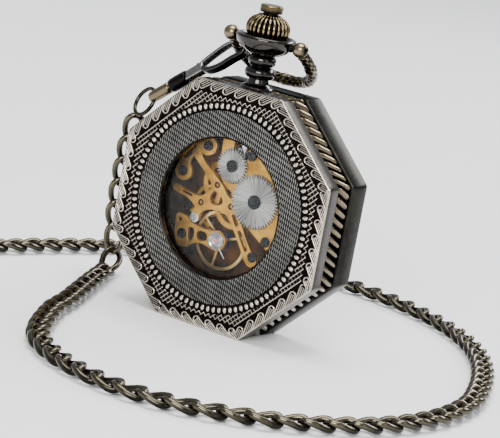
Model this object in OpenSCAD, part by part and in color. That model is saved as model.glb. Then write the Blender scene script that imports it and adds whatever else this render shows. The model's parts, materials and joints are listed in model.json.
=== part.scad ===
// Eight-sided double-cover pocket watch, hand wound, with its clasp and curb chain.
// It stands on the bottom flats of its covers at z = 0. +Z points to the crown, the back cover
// faces -Y and the dial faces +Y. Millimetres.

/* [Case] */
// Width across the flats of the covers
across_flats = 47; // [46.8:0.1:47.4]
// Radius of both round windows
window_r = 13.5; // [13.2:0.1:13.6]
// Thickness of a cover's face
face_t = 1.2; // [1:0.05:1.25]
// Thickness of a cover's side wall
wall_t = 1.5; // [1.3:0.1:1.6]
// Radius of the case bore that holds the movement
case_bore_r = 18.2; // [18.1:0.05:18.3]

/* [Pendant and bow] */
// Radius of the pendant's cup
cup_r = 5.8; // [5.7:0.05:5.9]
// Thickness of the bow's wire
bow_wire = 2.1; // [1.8:0.1:2.2]
// Radius of the crown over its flutes
crown_r = 4.25; // [4.1:0.05:4.3]
// Number of flutes round the crown
crown_flutes = 26; // [20:1:28]

/* [Movement] */
// Radius of the main plate
plate_r = 16.4; // [16.2:0.1:16.5]
// Radius of the balance wheel
balance_r = 5.9; // [5.6:0.1:5.9]
// Radial running clearance of an arbor in its hole
running = 0.03; // [0.02:0.01:0.05]

/* [Chain] */
// Width of the chain
chain_w = 4; // [3.6:0.2:4]

/* [Hidden] */
$fn = 64;

// The row frame's origin is under the middle of the watch and its bow, so the case stands off it.
case_y = -1.485;
case_h = across_flats / 2;
half_t = 6.95;
back_z = 3.6;
front_z = -1.75;
band_top = 3.45;
band_low = -1.6;
band_flats = across_flats - 1.6;
hinge_h = 1.1 - case_h;
back_hinge_z = 3.52;
front_hinge_z = -1.68;
hinge_r = 0.9;
hinge_pin_r = 0.4;
hinge_half = 8.5;
knuckle_half = 3;
stem_z = 0.9;
stem_r = 0.6;
square_w = 0.7;
pivot_h = 32.5;
knuckle_x = 7.9;
bow_lean = 38;
bow_points = [[-7.9, -1.5, 0], [-8.2, -4.5, 0], [-7.4, -8.6, 0], [-4.6, -11.6, 0], [0, -12.4, 0],
    [4.6, -11.6, 0], [7.4, -8.6, 0], [8.2, -4.5, 0], [7.9, -1.5, 0]];

plate_low = -1.9;
plate_top = -0.9;
bridge_low = 1.4;
bridge_top = 2.3;
wheel_top = 2.8;
arbor_r = 0.3;
barrel_at = [5.3, 2.3];
crown_wheel_at = [-1.1, 7.8];
third_at = [-3.9, 3.3];
fourth_at = [-6.9, -0.9];
escape_at = [-7.8, -4.2];
balance_at = [-1.9, -7.35];
pallet_at = [-5.1, -5.65];
minute_at = [3.1, -1.2];
click_at = [11.6, 6.3];
ratchet_teeth = 56;
crown_teeth = 36;
barrel_teeth = 70;
centre_leaves = 10;
screw_places = [[-12.2, 4.1], [-7.5, 10.2], [2.7, 10.7], [9.1, -4.6], [6.8, -8.2], [-9.9, -7.9],
    [12.6, 2.2], [-10.9, -2.6]];
jewel_places = [third_at, fourth_at, [0, 0], escape_at];
screw_r = 0.5;

clasp_start = [-8.2, 3.1, 29.4];
clasp_roll = 31;
ring_centre = [-29, 5, 13.6];
ring_r = 2.9;
ring_wire = 0.8;
chain_route = [[-30.4, 5, 33.4], [-31.4, 5.5, 29], [-32.4, 6.5, 22], [-33, 7.5, 14], [-33, 8.5, 7.5],
    [-32.4, 7.5, 3.6], [-31, 4, 2], [-28.5, -2, 2], [-25.5, -9, 2], [-22, -17, 2], [-19, -24, 2],
    [-16.5, -31, 2], [-13, -38, 2], [-9, -45, 2], [-4, -51.5, 2], [3, -56.5, 2], [10, -59.5, 2],
    [18, -61, 2], [26, -60.5, 2], [33.5, -58, 2], [40.5, -53.5, 2], [47, -47.5, 2],
    [52.5, -40, 2], [56.5, -32, 2], [59, -22, 2], [59.5, -12, 2], [58, -1, 2], [54.5, 9, 2],
    [49.5, 20, 2], [43, 31, 2], [35.5, 40, 2], [26, 47.5, 2], [14, 53, 2], [1, 55.5, 2],
    [-12, 54, 2], [-25, 48, 2], [-35.5, 38.5, 2], [-42.5, 27.5, 2], [-47, 16, 2], [-50, 6, 2],
    [-52.5, -4, 2], [-57, -12.5, 2], [-63.5, -18.5, 2]];
chain_end_at = [-66.6, -20.4, 1];
bar_half = 10;

catch_low = -1.5;

// ---- Helpers -----------------------------------------------------------------------------

// The case frame: x to the right, y up from the middle of the case, z towards the back cover.
module in_case() translate([0, case_y, case_h]) rotate([90, 0, 0]) children();

module octagon(flats, low, high) translate([0, 0, low]) rotate(22.5)
    cylinder(h = high - low, r = flats / 2 / cos(22.5), $fn = 8);

module disc(r, low, high, at = [0, 0]) translate([at[0], at[1], low])
    cylinder(h = high - low, r = r);

module ring(outer, inner, low, high, at = [0, 0]) difference() {
    disc(outer, low, high, at);
    disc(inner, low - 1, high + 1, at);
}

module along_x(half, r, y, z) translate([-half, y, z]) rotate([0, 90, 0])
    cylinder(h = 2 * half, r = r);

module slotted(r, low, high, at, turn = 35) difference() {
    disc(r, low, high, at);
    translate([at[0], at[1], high]) rotate(turn) cube([3 * r, 0.16, 0.3], center = true);
}

// A toothed outline: straight-sided teeth with a narrow tip, one tooth on the angle `turn`.
function gear_points(teeth, pitch_r, m, turn) = [for (i = [0:teeth - 1]) for (c = [0:3])
    let (half = [0.36, 0.13, -0.13, -0.36][3 - c], r = pitch_r + [-1.1, 0.8, 0.8, -1.1][c] * m,
        a = turn + (i + half) * 360 / teeth) r * [cos(a), sin(a)]];

module gear(teeth, pitch_r, low, high, at, turn = 0) translate([at[0], at[1], low])
    linear_extrude(high - low) polygon(gear_points(teeth, pitch_r, 2 * pitch_r / teeth, turn));

module spokes(count, inner, outer, wide, low, high, at) for (i = [0:count - 1])
    translate([at[0], at[1], low]) rotate(i * 360 / count + 20) translate([inner, -wide / 2, 0])
        cube([outer - inner, wide, high - low]);

// A train wheel: toothed rim, spokes, hub, arbor and the pinion that the wheel before it turns.
module train_wheel(at, teeth, pitch_r, low, high, turn, leaves, pinion_r, pin_low, pin_high, pin_turn) {
    difference() {
        gear(teeth, pitch_r, low, high, at, turn);
        disc(pitch_r * 0.78, low - 1, high + 1, at);
    }
    spokes(4, arbor_r - 0.05, pitch_r * 0.8, pitch_r * 0.11, low, high, at);
    disc(max(0.55, pitch_r * 0.16), low, high, at);
    gear(leaves, pinion_r, pin_low, pin_high, at, pin_turn);
    disc(arbor_r, plate_low + 0.1, bridge_top - 0.1, at);
}

function turn_to(a, b) = atan2(b[1] - a[1], b[0] - a[0]);
function pitch_r(a, b, own, other) = norm(b - a) * own / (own + other);

// ---- Case --------------------------------------------------------------------------------

module hinge_relief(z) along_x(9.9, 1.3, hinge_h, z);

module band_knuckles(z, side) difference() {
    for (s = [-1, 1]) {
        translate([s * (knuckle_half + 0.1 + hinge_half) / 2, hinge_h, z]) rotate([0, 90, 0])
            cylinder(h = hinge_half - knuckle_half - 0.1, r = hinge_r, center = true);
        translate([s * (knuckle_half + 0.1 + hinge_half) / 2, hinge_h + 0.75, z - side * 0.95])
            cube([hinge_half - knuckle_half - 0.1, 1.5, 1.9], center = true);
    }
    along_x(hinge_half + 1, hinge_pin_r, hinge_h, z);
}

// The lid catch slides in a slot through the movement ring and the band.
module catch_slot() translate([-6.1, 16, band_low - 1]) cube([1.9, 5.7, catch_low + 1.5 - band_low + 1]);

module case_band() color("#4b4438") in_case() {
    difference() {
        octagon(band_flats, band_low, band_top);
        disc(case_bore_r, band_low - 1, band_top + 1);
        hinge_relief(back_hinge_z);
        hinge_relief(front_hinge_z);
        translate([0, 0, stem_z]) rotate([-90, 0, 0]) cylinder(h = 40, r = 1.05);
        catch_slot();
    }
    band_knuckles(back_hinge_z, 1);
    band_knuckles(front_hinge_z, -1);
}

// One cover, drawn with its rim at z = 0 and its face at z = deep; hinge_z is the pin's height and
// stem_at the stem's. The rim is notched round the pendant's foot.
module cover(deep, hinge_z, stem_at) {
    difference() {
        union() {
            difference() {
                octagon(across_flats, 0, deep);
                octagon(across_flats - 2 * wall_t, -1, deep - face_t);
            }
            disc(window_r + 1.7, deep - face_t - 0.75, deep - face_t + 0.1);
        }
        translate([0, 0, stem_at]) rotate([-90, 0, 0]) translate([0, 0, 22.5]) cylinder(h = 3, r = 3.55);
        disc(window_r, -1, deep + 1);
        disc(window_r + 0.65, -1, deep - face_t - 0.05);
        for (s = [-1, 1]) translate([s * 6.3, hinge_h, hinge_z]) rotate([0, 90, 0])
            cylinder(h = 6.6, r = hinge_r + 0.1, center = true);
    }
    difference() {
        along_x(knuckle_half, hinge_r, hinge_h, hinge_z);
        along_x(hinge_half, hinge_pin_r + running, hinge_h, hinge_z);
    }
}

module cover_glass(deep) disc(window_r + 0.6, deep - face_t - 0.7, deep - face_t - 0.1);

module at_back() in_case() translate([0, 0, back_z]) children();

module at_front() in_case() translate([0, 0, front_z]) mirror([0, 0, 1]) children();

module back_cover() color("#6a6152") at_back() difference() {
    cover(half_t - back_z, back_hinge_z - back_z, stem_z - back_z);
    along_x(hinge_half, hinge_pin_r + running, hinge_h, back_hinge_z - back_z);
}

module back_crystal() color("#c8d4dc", 0.4) at_back() cover_glass(half_t - back_z);

module back_hinge_pin() color("#8a8270") in_case() along_x(hinge_half, hinge_pin_r, hinge_h, back_hinge_z);

module front_cover() color("#5c5548") at_front() difference() {
    cover(half_t + front_z, front_z - front_hinge_z, front_z - stem_z);
    along_x(hinge_half, hinge_pin_r + running, hinge_h, front_z - front_hinge_z);
}

module front_crystal() color("#c8d4dc", 0.4) at_front() cover_glass(half_t + front_z);

module front_hinge_pin() color("#8a8270") in_case()
    along_x(hinge_half, hinge_pin_r, hinge_h, front_hinge_z);

module dial_bezel() color("#7d705a") in_case() {
    ring(19.2, 16.6, -2.5, band_low);
    ring(18.1, 16.6, -4.6, -2.45);
}

module dial_crystal() color("#dde6ea", 0.35) in_case() disc(16.56, -4.45, -4.05);

module dial() color("#e9e4d4") in_case() difference() {
    disc(16.55, -3.05, -2.8);
    disc(1, -4, -2);
}

module movement_ring() color("#9a9a98") in_case() difference() {
    ring(case_bore_r - 0.05, plate_r + 0.05, band_low, 1.2);
    translate([0, 0, stem_z]) rotate([-90, 0, 0]) cylinder(h = 40, r = 0.95);
    catch_slot();
}

// ---- Pendant, bow and crown ----------------------------------------------------------------

// The pendant frame: origin on the stem's axis at the middle of the case, z towards the crown.
module on_stem() translate([0, case_y - stem_z, case_h]) children();

module torus(big, tube, h) translate([0, 0, h]) rotate_extrude() translate([big, 0]) circle(tube);

module pendant() color("#3d3a34") on_stem() difference() {
    union() {
        rotate_extrude() polygon([[0, band_flats / 2], [3.4, band_flats / 2], [3.3, 23.4],
            [2.1, 24.2], [1.8, 25.2], [1.8, 29.9], [3.2, 30.1], [4.7, 30.9], [5.5, 31.9], [cup_r, 33.2],
            [cup_r - 0.2, 33.6], [4.9, 33.6], [4.6, 33.1], [4.6, 31.9], [0, 31.6]]);
        torus(1.9, 1.1, 26.4);
        torus(1.7, 1.1, 28.9);
    }
    cylinder(h = 40, r = 1.05);
    translate([-10, 0, pivot_h]) rotate([0, 90, 0]) cylinder(h = 20, r = 0.55);
}

// The bow frame: x across, z up, the wire running down from the knuckles at the origin.
module in_bow() on_stem() translate([0, 0, pivot_h]) rotate([90 - bow_lean, 0, 0]) children();

// A round tube of `sides` sides swept along smooth points.
function unit(v) = v / norm(v);
function smooth(route, t) = let (i = max(0, min(floor(t), len(route) - 2)), u = t - i,
    p0 = route[max(i - 1, 0)], p1 = route[i], p2 = route[i + 1], p3 = route[min(i + 2, len(route) - 1)])
    (2 * p1 + (p2 - p0) * u + (2 * p0 - 5 * p1 + 4 * p2 - p3) * u * u
        + (3 * p1 - p0 - 3 * p2 + p3) * u * u * u) / 2;

function tube_ring(route, r, sides, t) = let (p = smooth(route, t),
    d = unit(smooth(route, t + 0.01) - smooth(route, t - 0.01)),
    side = unit(cross(d, abs(d[2]) > 0.7 ? [0, 1, 0] : [0, 0, 1])), up = cross(side, d))
    [for (j = [0:sides - 1]) let (a = (j + 0.5) * 360 / sides) p + r * (cos(a) * side + sin(a) * up)];

module tube(route, r, sides, rings) polyhedron(
    points = [for (k = [0:rings - 1]) each tube_ring(route, r, sides, k * (len(route) - 1) / (rings - 1))],
    faces = concat([[for (j = [0:sides - 1]) j]],
        [for (k = [0:rings - 2]) for (j = [0:sides - 1]) let (a = k * sides + j,
            b = k * sides + (j + 1) % sides) each [[a, a + sides, b], [b, a + sides, b + sides]]],
        [[for (j = [sides - 1:-1:0]) (rings - 1) * sides + j]]));

module bow() color("#4a4337") in_bow() rotate([90, 0, 0]) tube(bow_points, bow_wire / 2, 16, 33);

// Each pin carries the ball of the bow's end, and its inner end turns in the pendant's cup.
module bow_pins() color("#9b8a66") on_stem() for (s = [-1, 1]) translate([0, 0, pivot_h])
    rotate([0, s * 90, 0]) rotate_extrude() polygon(concat([[0, 4.95], [0.5, 4.95], [0.5, 6.3]],
        [for (a = [-60:15:75]) [1.55 * cos(a), knuckle_x + 1.55 * sin(a)]], [[0, 9.45]]));

module crown() color("#7a6a4a") on_stem() difference() {
    rotate_extrude() polygon([[0, 32.6], [2.9, 32.6], [3.9, 33.6], [crown_r, 34.8], [4.1, 36],
        [3.3, 37.1], [2.5, 37.7], [0, 37.7]]);
    for (i = [0:crown_flutes - 1]) rotate(i * 360 / crown_flutes) translate([crown_r + 0.2, 0, 32])
        cylinder(h = 4.6, r = 0.34, $fn = 16);
    translate([0, 0, 36.4]) cylinder(h = 3, r = 1.55);
    translate([0, 0, 31]) cylinder(h = 3.2, r = 0.5);
}

module crown_square() color("#b8b8b8") on_stem() {
    translate([-square_w / 2, -square_w / 2, 27.6]) cube([square_w, square_w, 5]);
    translate([0, 0, 32]) cylinder(h = 2.2, r = 0.5);
}

module crown_button() color("#8f8057") on_stem() {
    translate([0, 0, 38.05]) cylinder(h = 1.45, r = 2.2);
    translate([0, 0, 37.1]) cylinder(h = 1, r = 1.5);
}

module winding_stem() color("#b8b8b8") on_stem() difference() {
    union() {
        translate([0, 0, 9]) cylinder(h = 12, r = stem_r);
        translate([0, 0, 20]) cylinder(h = 11.2, r = 0.95);
    }
    translate([-0.4, -0.4, 26]) cube([0.8, 0.8, 10]);
}

module winding_pinion() color("#c2c2c2") on_stem() difference() {
    translate([0, 0, 10.4]) union() {
        linear_extrude(1) polygon(gear_points(12, 1.2, 0.2, 0));
        translate([0, 0, 1]) cylinder(h = 1.6, r = 0.95);
    }
    cylinder(h = 20, r = stem_r);
}

module lid_catch() color("#a8a8a0") in_case() translate([-6, 16.9, catch_low]) cube([1.7, 4.6, 1.4]);

// ---- Movement: plates and bridges ----------------------------------------------------------

module pivots(low, high, grow = running) for (p = [third_at, fourth_at, [0, 0], escape_at])
    disc(arbor_r + grow, low, high, p);

module main_plate() color("#c79a45") in_case() difference() {
    disc(plate_r, plate_low, plate_top);
    pivots(plate_low - 1, plate_top + 1);
    for (p = [balance_at, pallet_at]) disc(0.18 + running, plate_low - 1, plate_top + 1, p);
    disc(0.9 + running, plate_low - 1, plate_top + 1, barrel_at);
    disc(0.25, plate_low - 1, plate_top + 1, minute_at);
    translate([-6.1, 14, plate_low - 1]) cube([1.9, 5, 2.2]);
}

module bridge_feet(places) for (p = places) disc(1.1, plate_top, bridge_low + 0.1, p);

module screw_holes(low = bridge_low - 3) for (p = screw_places) disc(screw_r, low, bridge_top + 1, p);

module barrel_bridge() color("#d6a548") in_case() difference() {
    union() {
        translate([0, 0, bridge_low]) linear_extrude(bridge_top - bridge_low) difference() {
            intersection() {
                circle(plate_r - 0.4);
                polygon([[-4.6, 17], [-4.2, 6.6], [-2.6, 4], [1.4, 1.6], [3.2, -1.9], [5.2, -3.4],
                    [9.4, -6], [17, -4], [17, 17]]);
            }
            circle(1.2);
        }
        bridge_feet([screw_places[2], screw_places[3], screw_places[6]]);
    }
    disc(0.9 + running, 0, 4, barrel_at);
    disc(0.4 + running, 0, 4, crown_wheel_at);
    disc(0.25, 0, 4, click_at);
    translate([-1.75, 9.2, 0]) cube([3.5, 9, 2.35]);
    screw_holes();
}

// A flat bar with round ends, from a to b.
module bar(a, b, half) {
    translate(a) circle(half);
    translate(b) circle(half);
    translate(a) rotate(turn_to(a, b)) translate([0, -half * 0.98]) square([norm(b - a), half * 1.96]);
}

module train_bridge() color("#dfae4e") in_case() difference() {
    union() {
        translate([0, 0, bridge_low]) linear_extrude(bridge_top - bridge_low) {
            bar([-13, 4.6], [-7.6, 10.1], 1.2);
            bar([-10.2, 7.8], [-3.2, 2.6], 0.8);
            bar([-4.2, 3.5], [0, 0], 0.95);
            bar([-13.6, 0.4], [-6.6, -1], 0.7);
            bar([-7, -0.6], [-7.7, -4.4], 0.84);
            bar([-7.2, -1.2], [-0.2, 0.2], 0.82);
            bar([-0.1, 0.1], [6.4, -9.1], 1.15);
            bar([-13.3, 4.1], [-13.5, 0.7], 0.76);
        }
        bridge_feet([screw_places[0], screw_places[1], screw_places[4]]);
    }
    pivots(0, 4);
    screw_holes();
}

module strip(a, b, half, h) {
    translate(a) cylinder(h = h, r = half);
    translate(b) cylinder(h = h, r = half);
    translate(a) rotate(turn_to(a, b)) translate([0, -half, 0]) cube([norm(b - a), 2 * half, h]);
}

module balance_cock() color("#d6a548") in_case() difference() {
    union() {
        translate([0, 0, bridge_low]) strip([-10.6, -8.4], balance_at, 1.25, bridge_top - bridge_low);
        translate([0, 0, bridge_low]) strip([-11.6, -5.2], [-9.6, -9.6], 1.5, bridge_top - bridge_low);
        bridge_feet([screw_places[5]]);
    }
    disc(0.18 + running, 0, 4, balance_at);
    disc(1.35, bridge_top - 0.45, 4, balance_at);
    screw_holes();
}

module pallet_cock() color("#c79a45") in_case() difference() {
    union() {
        translate([0, 0, 0.36]) strip(pallet_at, [-11, -2.7], 0.42, 0.1);
        disc(1, plate_top, 0.46, screw_places[7]);
    }
    disc(0.18 + running, -1, 4, pallet_at);
    disc(screw_r, -2, 4, screw_places[7]);
    disc(0.7, -2, 4, escape_at);
}

module bridge_screws() color("#23262c") in_case() for (i = [0:len(screw_places) - 1])
    let (top = i == 7 ? 0.46 : bridge_top) {
        disc(screw_r, plate_top + 0.1, top, screw_places[i]);
        slotted(0.95, top, top + 0.35, screw_places[i], 20 + 47 * i);
    }

module balance_jewel() color("#b8405a") in_case() {
    ring(1.3, 0.75, bridge_top - 0.45, bridge_top + 0.1, balance_at);
    ring(0.75, 0.21, bridge_top - 0.45, bridge_top, balance_at);
}

module train_jewels() color("#b8405a") in_case() for (p = jewel_places)
    ring(0.62, arbor_r + running, bridge_top, bridge_top + 0.06, p);

// ---- Movement: winding and power -----------------------------------------------------------

ratchet_r = pitch_r(barrel_at, crown_wheel_at, ratchet_teeth, crown_teeth);
crown_wheel_r = pitch_r(barrel_at, crown_wheel_at, crown_teeth, ratchet_teeth);

module ratchet_wheel() color("#c9ccd0") in_case() difference() {
    gear(ratchet_teeth, ratchet_r, bridge_top + 0.1, wheel_top, barrel_at, turn_to(barrel_at, crown_wheel_at));
    disc(0.5, 0, 4, barrel_at);
}

module ratchet_screw() color("#23262c") in_case() {
    slotted(1.35, wheel_top, wheel_top + 0.35, barrel_at, 40);
    disc(0.5, 1.9, wheel_top + 0.1, barrel_at);
}

module crown_wheel() color("#c9ccd0") in_case() difference() {
    gear(crown_teeth, crown_wheel_r, bridge_top + 0.1, wheel_top, crown_wheel_at,
        turn_to(crown_wheel_at, barrel_at) + 180 / crown_teeth);
    disc(0.4 + running, 0, 4, crown_wheel_at);
}

module crown_wheel_screw() color("#23262c") in_case() {
    disc(1, wheel_top + 0.03, wheel_top + 0.35, crown_wheel_at);
    disc(0.4, bridge_top, wheel_top + 0.1, crown_wheel_at);
    disc(0.4 + running, bridge_low, bridge_top, crown_wheel_at);
}

module click() color("#d8dade") in_case() {
    difference() {
        union() {
            disc(0.75, bridge_top + 0.1, wheel_top - 0.1, click_at);
            translate([0, 0, bridge_top + 0.1]) linear_extrude(0.3) polygon([[11.3, 5.7], [12.3, 6.5],
                [11.9, 8.2], [10.2, 6.9], [9.75, 5.85]]);
        }
        disc(0.22 + running, 0, 4, click_at);
    }
}

module click_spring() color("#d8dade") in_case() {
    disc(0.22, bridge_low, wheel_top, click_at);
    translate([0, 0, bridge_top]) linear_extrude(0.25) polygon([[9.6, 10.4], [10.2, 10.4],
        [11.65, 8.6], [11.4, 8.45], [9.6, 9.7]]);
}

module barrel() color("#d2a650") in_case() {
    difference() {
        union() {
            gear(barrel_teeth, pitch_r(barrel_at, [0, 0], barrel_teeth, centre_leaves), -0.8, -0.5,
                barrel_at, turn_to(barrel_at, [0, 0]));
            disc(4.4, -0.5, 0.85, barrel_at);
        }
        disc(3.9, -0.4, 0.65, barrel_at);
        disc(0.9 + running, -2, 4, barrel_at);
    }
}

module barrel_arbor() color("#b8b8b8") in_case() difference() {
    disc(0.9, plate_low + 0.1, bridge_top + 0.1, barrel_at);
    disc(0.5, 1.9, 4, barrel_at);
}

// ---- Movement: train, escapement and balance --------------------------------------------------

module centre_wheel() color("#e2b458") in_case()
    train_wheel([0, 0], 64, pitch_r([0, 0], third_at, 64, 8), 0.98, 1.2, turn_to([0, 0], third_at),
        centre_leaves, pitch_r([0, 0], barrel_at, centre_leaves, barrel_teeth), -0.85, -0.4,
        turn_to([0, 0], barrel_at) + 180 / centre_leaves);

module third_wheel() color("#e2b458") in_case()
    train_wheel(third_at, 60, pitch_r(third_at, fourth_at, 60, 8), 0.1, 0.3,
        turn_to(third_at, fourth_at), 8, pitch_r(third_at, [0, 0], 8, 64), 0.9, 1.28,
        turn_to(third_at, [0, 0]) + 180 / 8);

module fourth_wheel() color("#e2b458") in_case()
    train_wheel(fourth_at, 60, pitch_r(fourth_at, escape_at, 60, 6), -0.5, -0.3,
        turn_to(fourth_at, escape_at), 8, pitch_r(fourth_at, third_at, 8, 60), 0.02, 0.38,
        turn_to(fourth_at, third_at) + 180 / 8);

module escape_wheel() color("#c9ccd0") in_case()
    train_wheel(escape_at, 15, 1.55, 0.1, 0.26, 0, 6, pitch_r(escape_at, fourth_at, 6, 60), -0.58, -0.22,
        turn_to(escape_at, fourth_at) + 180 / 6);

module pallet_fork() color("#c9ccd0") in_case() {
    disc(0.18, plate_low + 0.1, 0.44, pallet_at);
    disc(0.42, 0.08, 0.26, pallet_at);
    translate([pallet_at[0], pallet_at[1], 0.08]) rotate(turn_to(pallet_at, balance_at)) {
        translate([0, -0.14, 0]) cube([2.1, 0.28, 0.18]);
        for (s = [-1, 1]) translate([2, s * 0.3 - 0.12, 0]) cube([0.5, 0.24, 0.18]);
        translate([1.9, -0.42, 0]) cube([0.2, 0.84, 0.18]);
        translate([-0.2, -1.15, 0]) cube([0.4, 2.3, 0.18]);
        for (s = [-1, 1]) translate([-0.75, s * 1.05 - 0.1, 0]) cube([0.8, 0.2, 0.18]);
    }
}

module balance_wheel() color("#e6bb62") in_case() {
    ring(balance_r, balance_r - 0.6, 0.5, 0.85, balance_at);
    spokes(3, 0.1, balance_r - 0.5, 0.45, 0.5, 0.75, balance_at);
    disc(0.7, 0.5, 0.85, balance_at);
    disc(0.18, plate_low + 0.1, bridge_top - 0.05, balance_at);
    disc(0.3, 0.5, 1, balance_at);
}

module hairspring() color("#6f7f9a") in_case() for (i = [0:4])
    ring(0.72 + 0.38 * i, 0.62 + 0.38 * i, 0.98, 1.13, balance_at);

module regulator() color("#d8dade") in_case() {
    ring(1.75, 1.38, bridge_top + 0.01, bridge_top + 0.2, balance_at);
    translate([balance_at[0], balance_at[1], bridge_top + 0.01]) rotate(-48) translate([1.5, -0.14, 0])
        cube([2.4, 0.28, 0.19]);
}

// ---- Dial side: motion work and hands ------------------------------------------------------

module cannon_pinion() color("#b8b8b8") in_case() difference() {
    union() {
        disc(0.55, -3.62, -2, [0, 0]);
        gear(12, pitch_r([0, 0], minute_at, 12, 36), -2.35, -2.02, [0, 0], turn_to([0, 0], minute_at));
    }
    disc(arbor_r + running, -5, 0, [0, 0]);
}

module minute_wheel() color("#e2b458") in_case() {
    gear(36, pitch_r(minute_at, [0, 0], 36, 12), -2.25, -2.05, minute_at,
        turn_to(minute_at, [0, 0]) + 180 / 36);
    gear(10, pitch_r(minute_at, [0, 0], 10, 40), -2.75, -2.25, minute_at, turn_to(minute_at, [0, 0]));
    disc(0.22, -2.3, plate_top, minute_at);
}

module hour_wheel() color("#e2b458") in_case() difference() {
    union() {
        gear(40, pitch_r([0, 0], minute_at, 40, 10), -2.68, -2.45, [0, 0],
            turn_to([0, 0], minute_at) + 180 / 40);
        disc(0.85, -3.3, -2.45, [0, 0]);
    }
    disc(0.55 + running, -5, 0, [0, 0]);
}

// A hand is drawn as seen from the dial side: it points to `clock` hours.
module hand(long, wide, low, high, hub, bore, clock) mirror([1, 0, 0]) difference() {
    union() {
        disc(hub, low, high);
        translate([0, 0, low]) linear_extrude(high - low) rotate(-30 * clock) polygon([[-0.3, 0],
            [-0.3, long * 0.45], [-wide, long * 0.6], [0, long], [wide, long * 0.6], [0.3, long * 0.45],
            [0.3, 0]]);
    }
    disc(bore, low - 1, high + 1);
}

module hour_hand() color("#1d2a55") in_case() hand(7.6, 1, -3.3, -3.15, 1.2, 0.85, 10.14);

module minute_hand() color("#1d2a55") in_case() hand(11.6, 0.7, -3.62, -3.48, 0.95, 0.55, 1.7);

// ---- Clasp and chain -----------------------------------------------------------------------

// The clasp frame: origin at the bow's wire, x along the clasp towards the ring, z to the back.
clasp_dir = ring_centre - clasp_start;
module in_clasp() translate(clasp_start + [0, case_y, case_h])
    rotate([0, -asin(clasp_dir[2] / norm(clasp_dir)), atan2(clasp_dir[1], clasp_dir[0])])
        rotate([clasp_roll, 0, 0]) children();
clasp_l = norm(clasp_dir);

module arc(r, wide, deep, from, to) rotate(from) rotate_extrude(angle = to - from)
    translate([r, -deep / 2]) translate([-wide / 2, 0]) square([wide, deep]);

module clasp_hook() color("#3a3834") in_clasp() rotate([90, 0, 0]) difference() {
    union() {
        arc(2.35, 1.1, 1.7, 60, 300);
        translate([0.8, -2.75, -0.85]) cube([12.2, 1.1, 1.7]);
        translate([11.8, -2.75, -0.85]) cube([1.4, 4.2, 1.7]);
        translate([12.6, -1.1, -0.85]) cube([1.4, 2.2, 1.7]);
    }
    translate([10.6, 0.9, -3]) cylinder(h = 6, r = 0.35 + running);
    translate([9, 0.1, -0.45]) cube([3.2, 3, 0.9]);
    translate([12, 0, 0]) rotate([0, 90, 0]) cylinder(h = 3, r = 0.4 + running);
}

module clasp_lever() color("#b9b9b6") in_clasp() rotate([90, 0, 0]) difference() {
    union() {
        translate([1.75, 1.65, -0.8]) cube([9.3, 0.8, 1.6]);
        translate([10.6, 0.9, -0.4]) cylinder(h = 0.8, r = 0.75);
        translate([9.9, 0.9, -0.4]) cube([1.4, 1.2, 0.8]);
    }
    translate([10.6, 0.9, -3]) cylinder(h = 6, r = 0.35 + running);
}

module clasp_pin() color("#8c887c") in_clasp() rotate([90, 0, 0])
    translate([10.6, 0.9, -0.85]) cylinder(h = 1.7, r = 0.35);

module clasp_swivel() color("#5a5344") in_clasp() {
    translate([14.1, 0, 0]) rotate([0, 90, 0]) cylinder(h = 4.4, r = 1.45);
    translate([12.3, 0, 0]) rotate([0, 90, 0]) cylinder(h = 2, r = 0.4);
    difference() {
        translate([18.4, 0, 0]) rotate([0, 90, 0]) cylinder(h = clasp_l - ring_r - 18.4 + 1.3, r = 1.15);
        translate([clasp_l, 0, 0]) rotate([90, 0, 0]) rotate_extrude() translate([ring_r, 0]) circle(0.45);
    }
}

module clasp_ring() color("#6b6658") in_clasp() translate([clasp_l, 0, 0]) rotate([90, 0, 0])
    rotate_extrude() translate([ring_r, 0]) circle(ring_wire / 2);

module chain() color("#4a463c") translate([0, case_y, 0]) tube(chain_route, chain_w / 2, 8, 78);

chain_heading = atan2(-6, -6.5);

module chain_ring() color("#5a5344") translate(chain_end_at + [0, case_y, 0]) rotate([0, 0, chain_heading]) {
    rotate_extrude() translate([1.7, 0]) circle(0.45);
    translate([4.2, 0, 0]) rotate_extrude() translate([1.7, 0]) circle(0.45);
}

module chain_bar() color("#5a5344") translate(chain_end_at + [0, case_y, 0]) rotate([0, 0, chain_heading])
    translate([7.2, 0, 0]) rotate([90, 0, 0]) {
        cylinder(h = 2 * bar_half, r = 0.85, center = true);
        for (s = [-1, 1]) translate([0, 0, s * bar_half]) sphere(1);
    }

case_band();
back_cover();
back_crystal();
back_hinge_pin();
front_cover();
front_crystal();
front_hinge_pin();
dial_bezel();
dial_crystal();
dial();
movement_ring();
pendant();
bow();
bow_pins();
crown();
crown_square();
crown_button();
winding_stem();
winding_pinion();
main_plate();
barrel_bridge();
train_bridge();
balance_cock();
pallet_cock();
bridge_screws();
barrel();
barrel_arbor();
ratchet_wheel();
ratchet_screw();
crown_wheel();
crown_wheel_screw();
click();
click_spring();
centre_wheel();
third_wheel();
fourth_wheel();
escape_wheel();
pallet_fork();
balance_wheel();
hairspring();
regulator();
balance_jewel();
train_jewels();
cannon_pinion();
minute_wheel();
hour_wheel();
minute_hand();
hour_hand();
lid_catch();
clasp_hook();
clasp_lever();
clasp_pin();
clasp_swivel();
clasp_ring();
chain();
chain_ring();
chain_bar();
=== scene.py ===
# %% [markdown]
# # An eight-sided pocket watch, seen from its back
# The watch stands on the bottom flats of its covers, and its curb chain lies round it. The CAD
# frame already holds every part at its real size. Here each visible part gets the surface that
# the real one has: cast and engraved bronze, gilt bridges, brushed steel wheels and glass.

# %% Load the frame
import json
import math

import bmesh
import bpy
import numpy as np
from mathutils import Matrix, Vector


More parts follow.
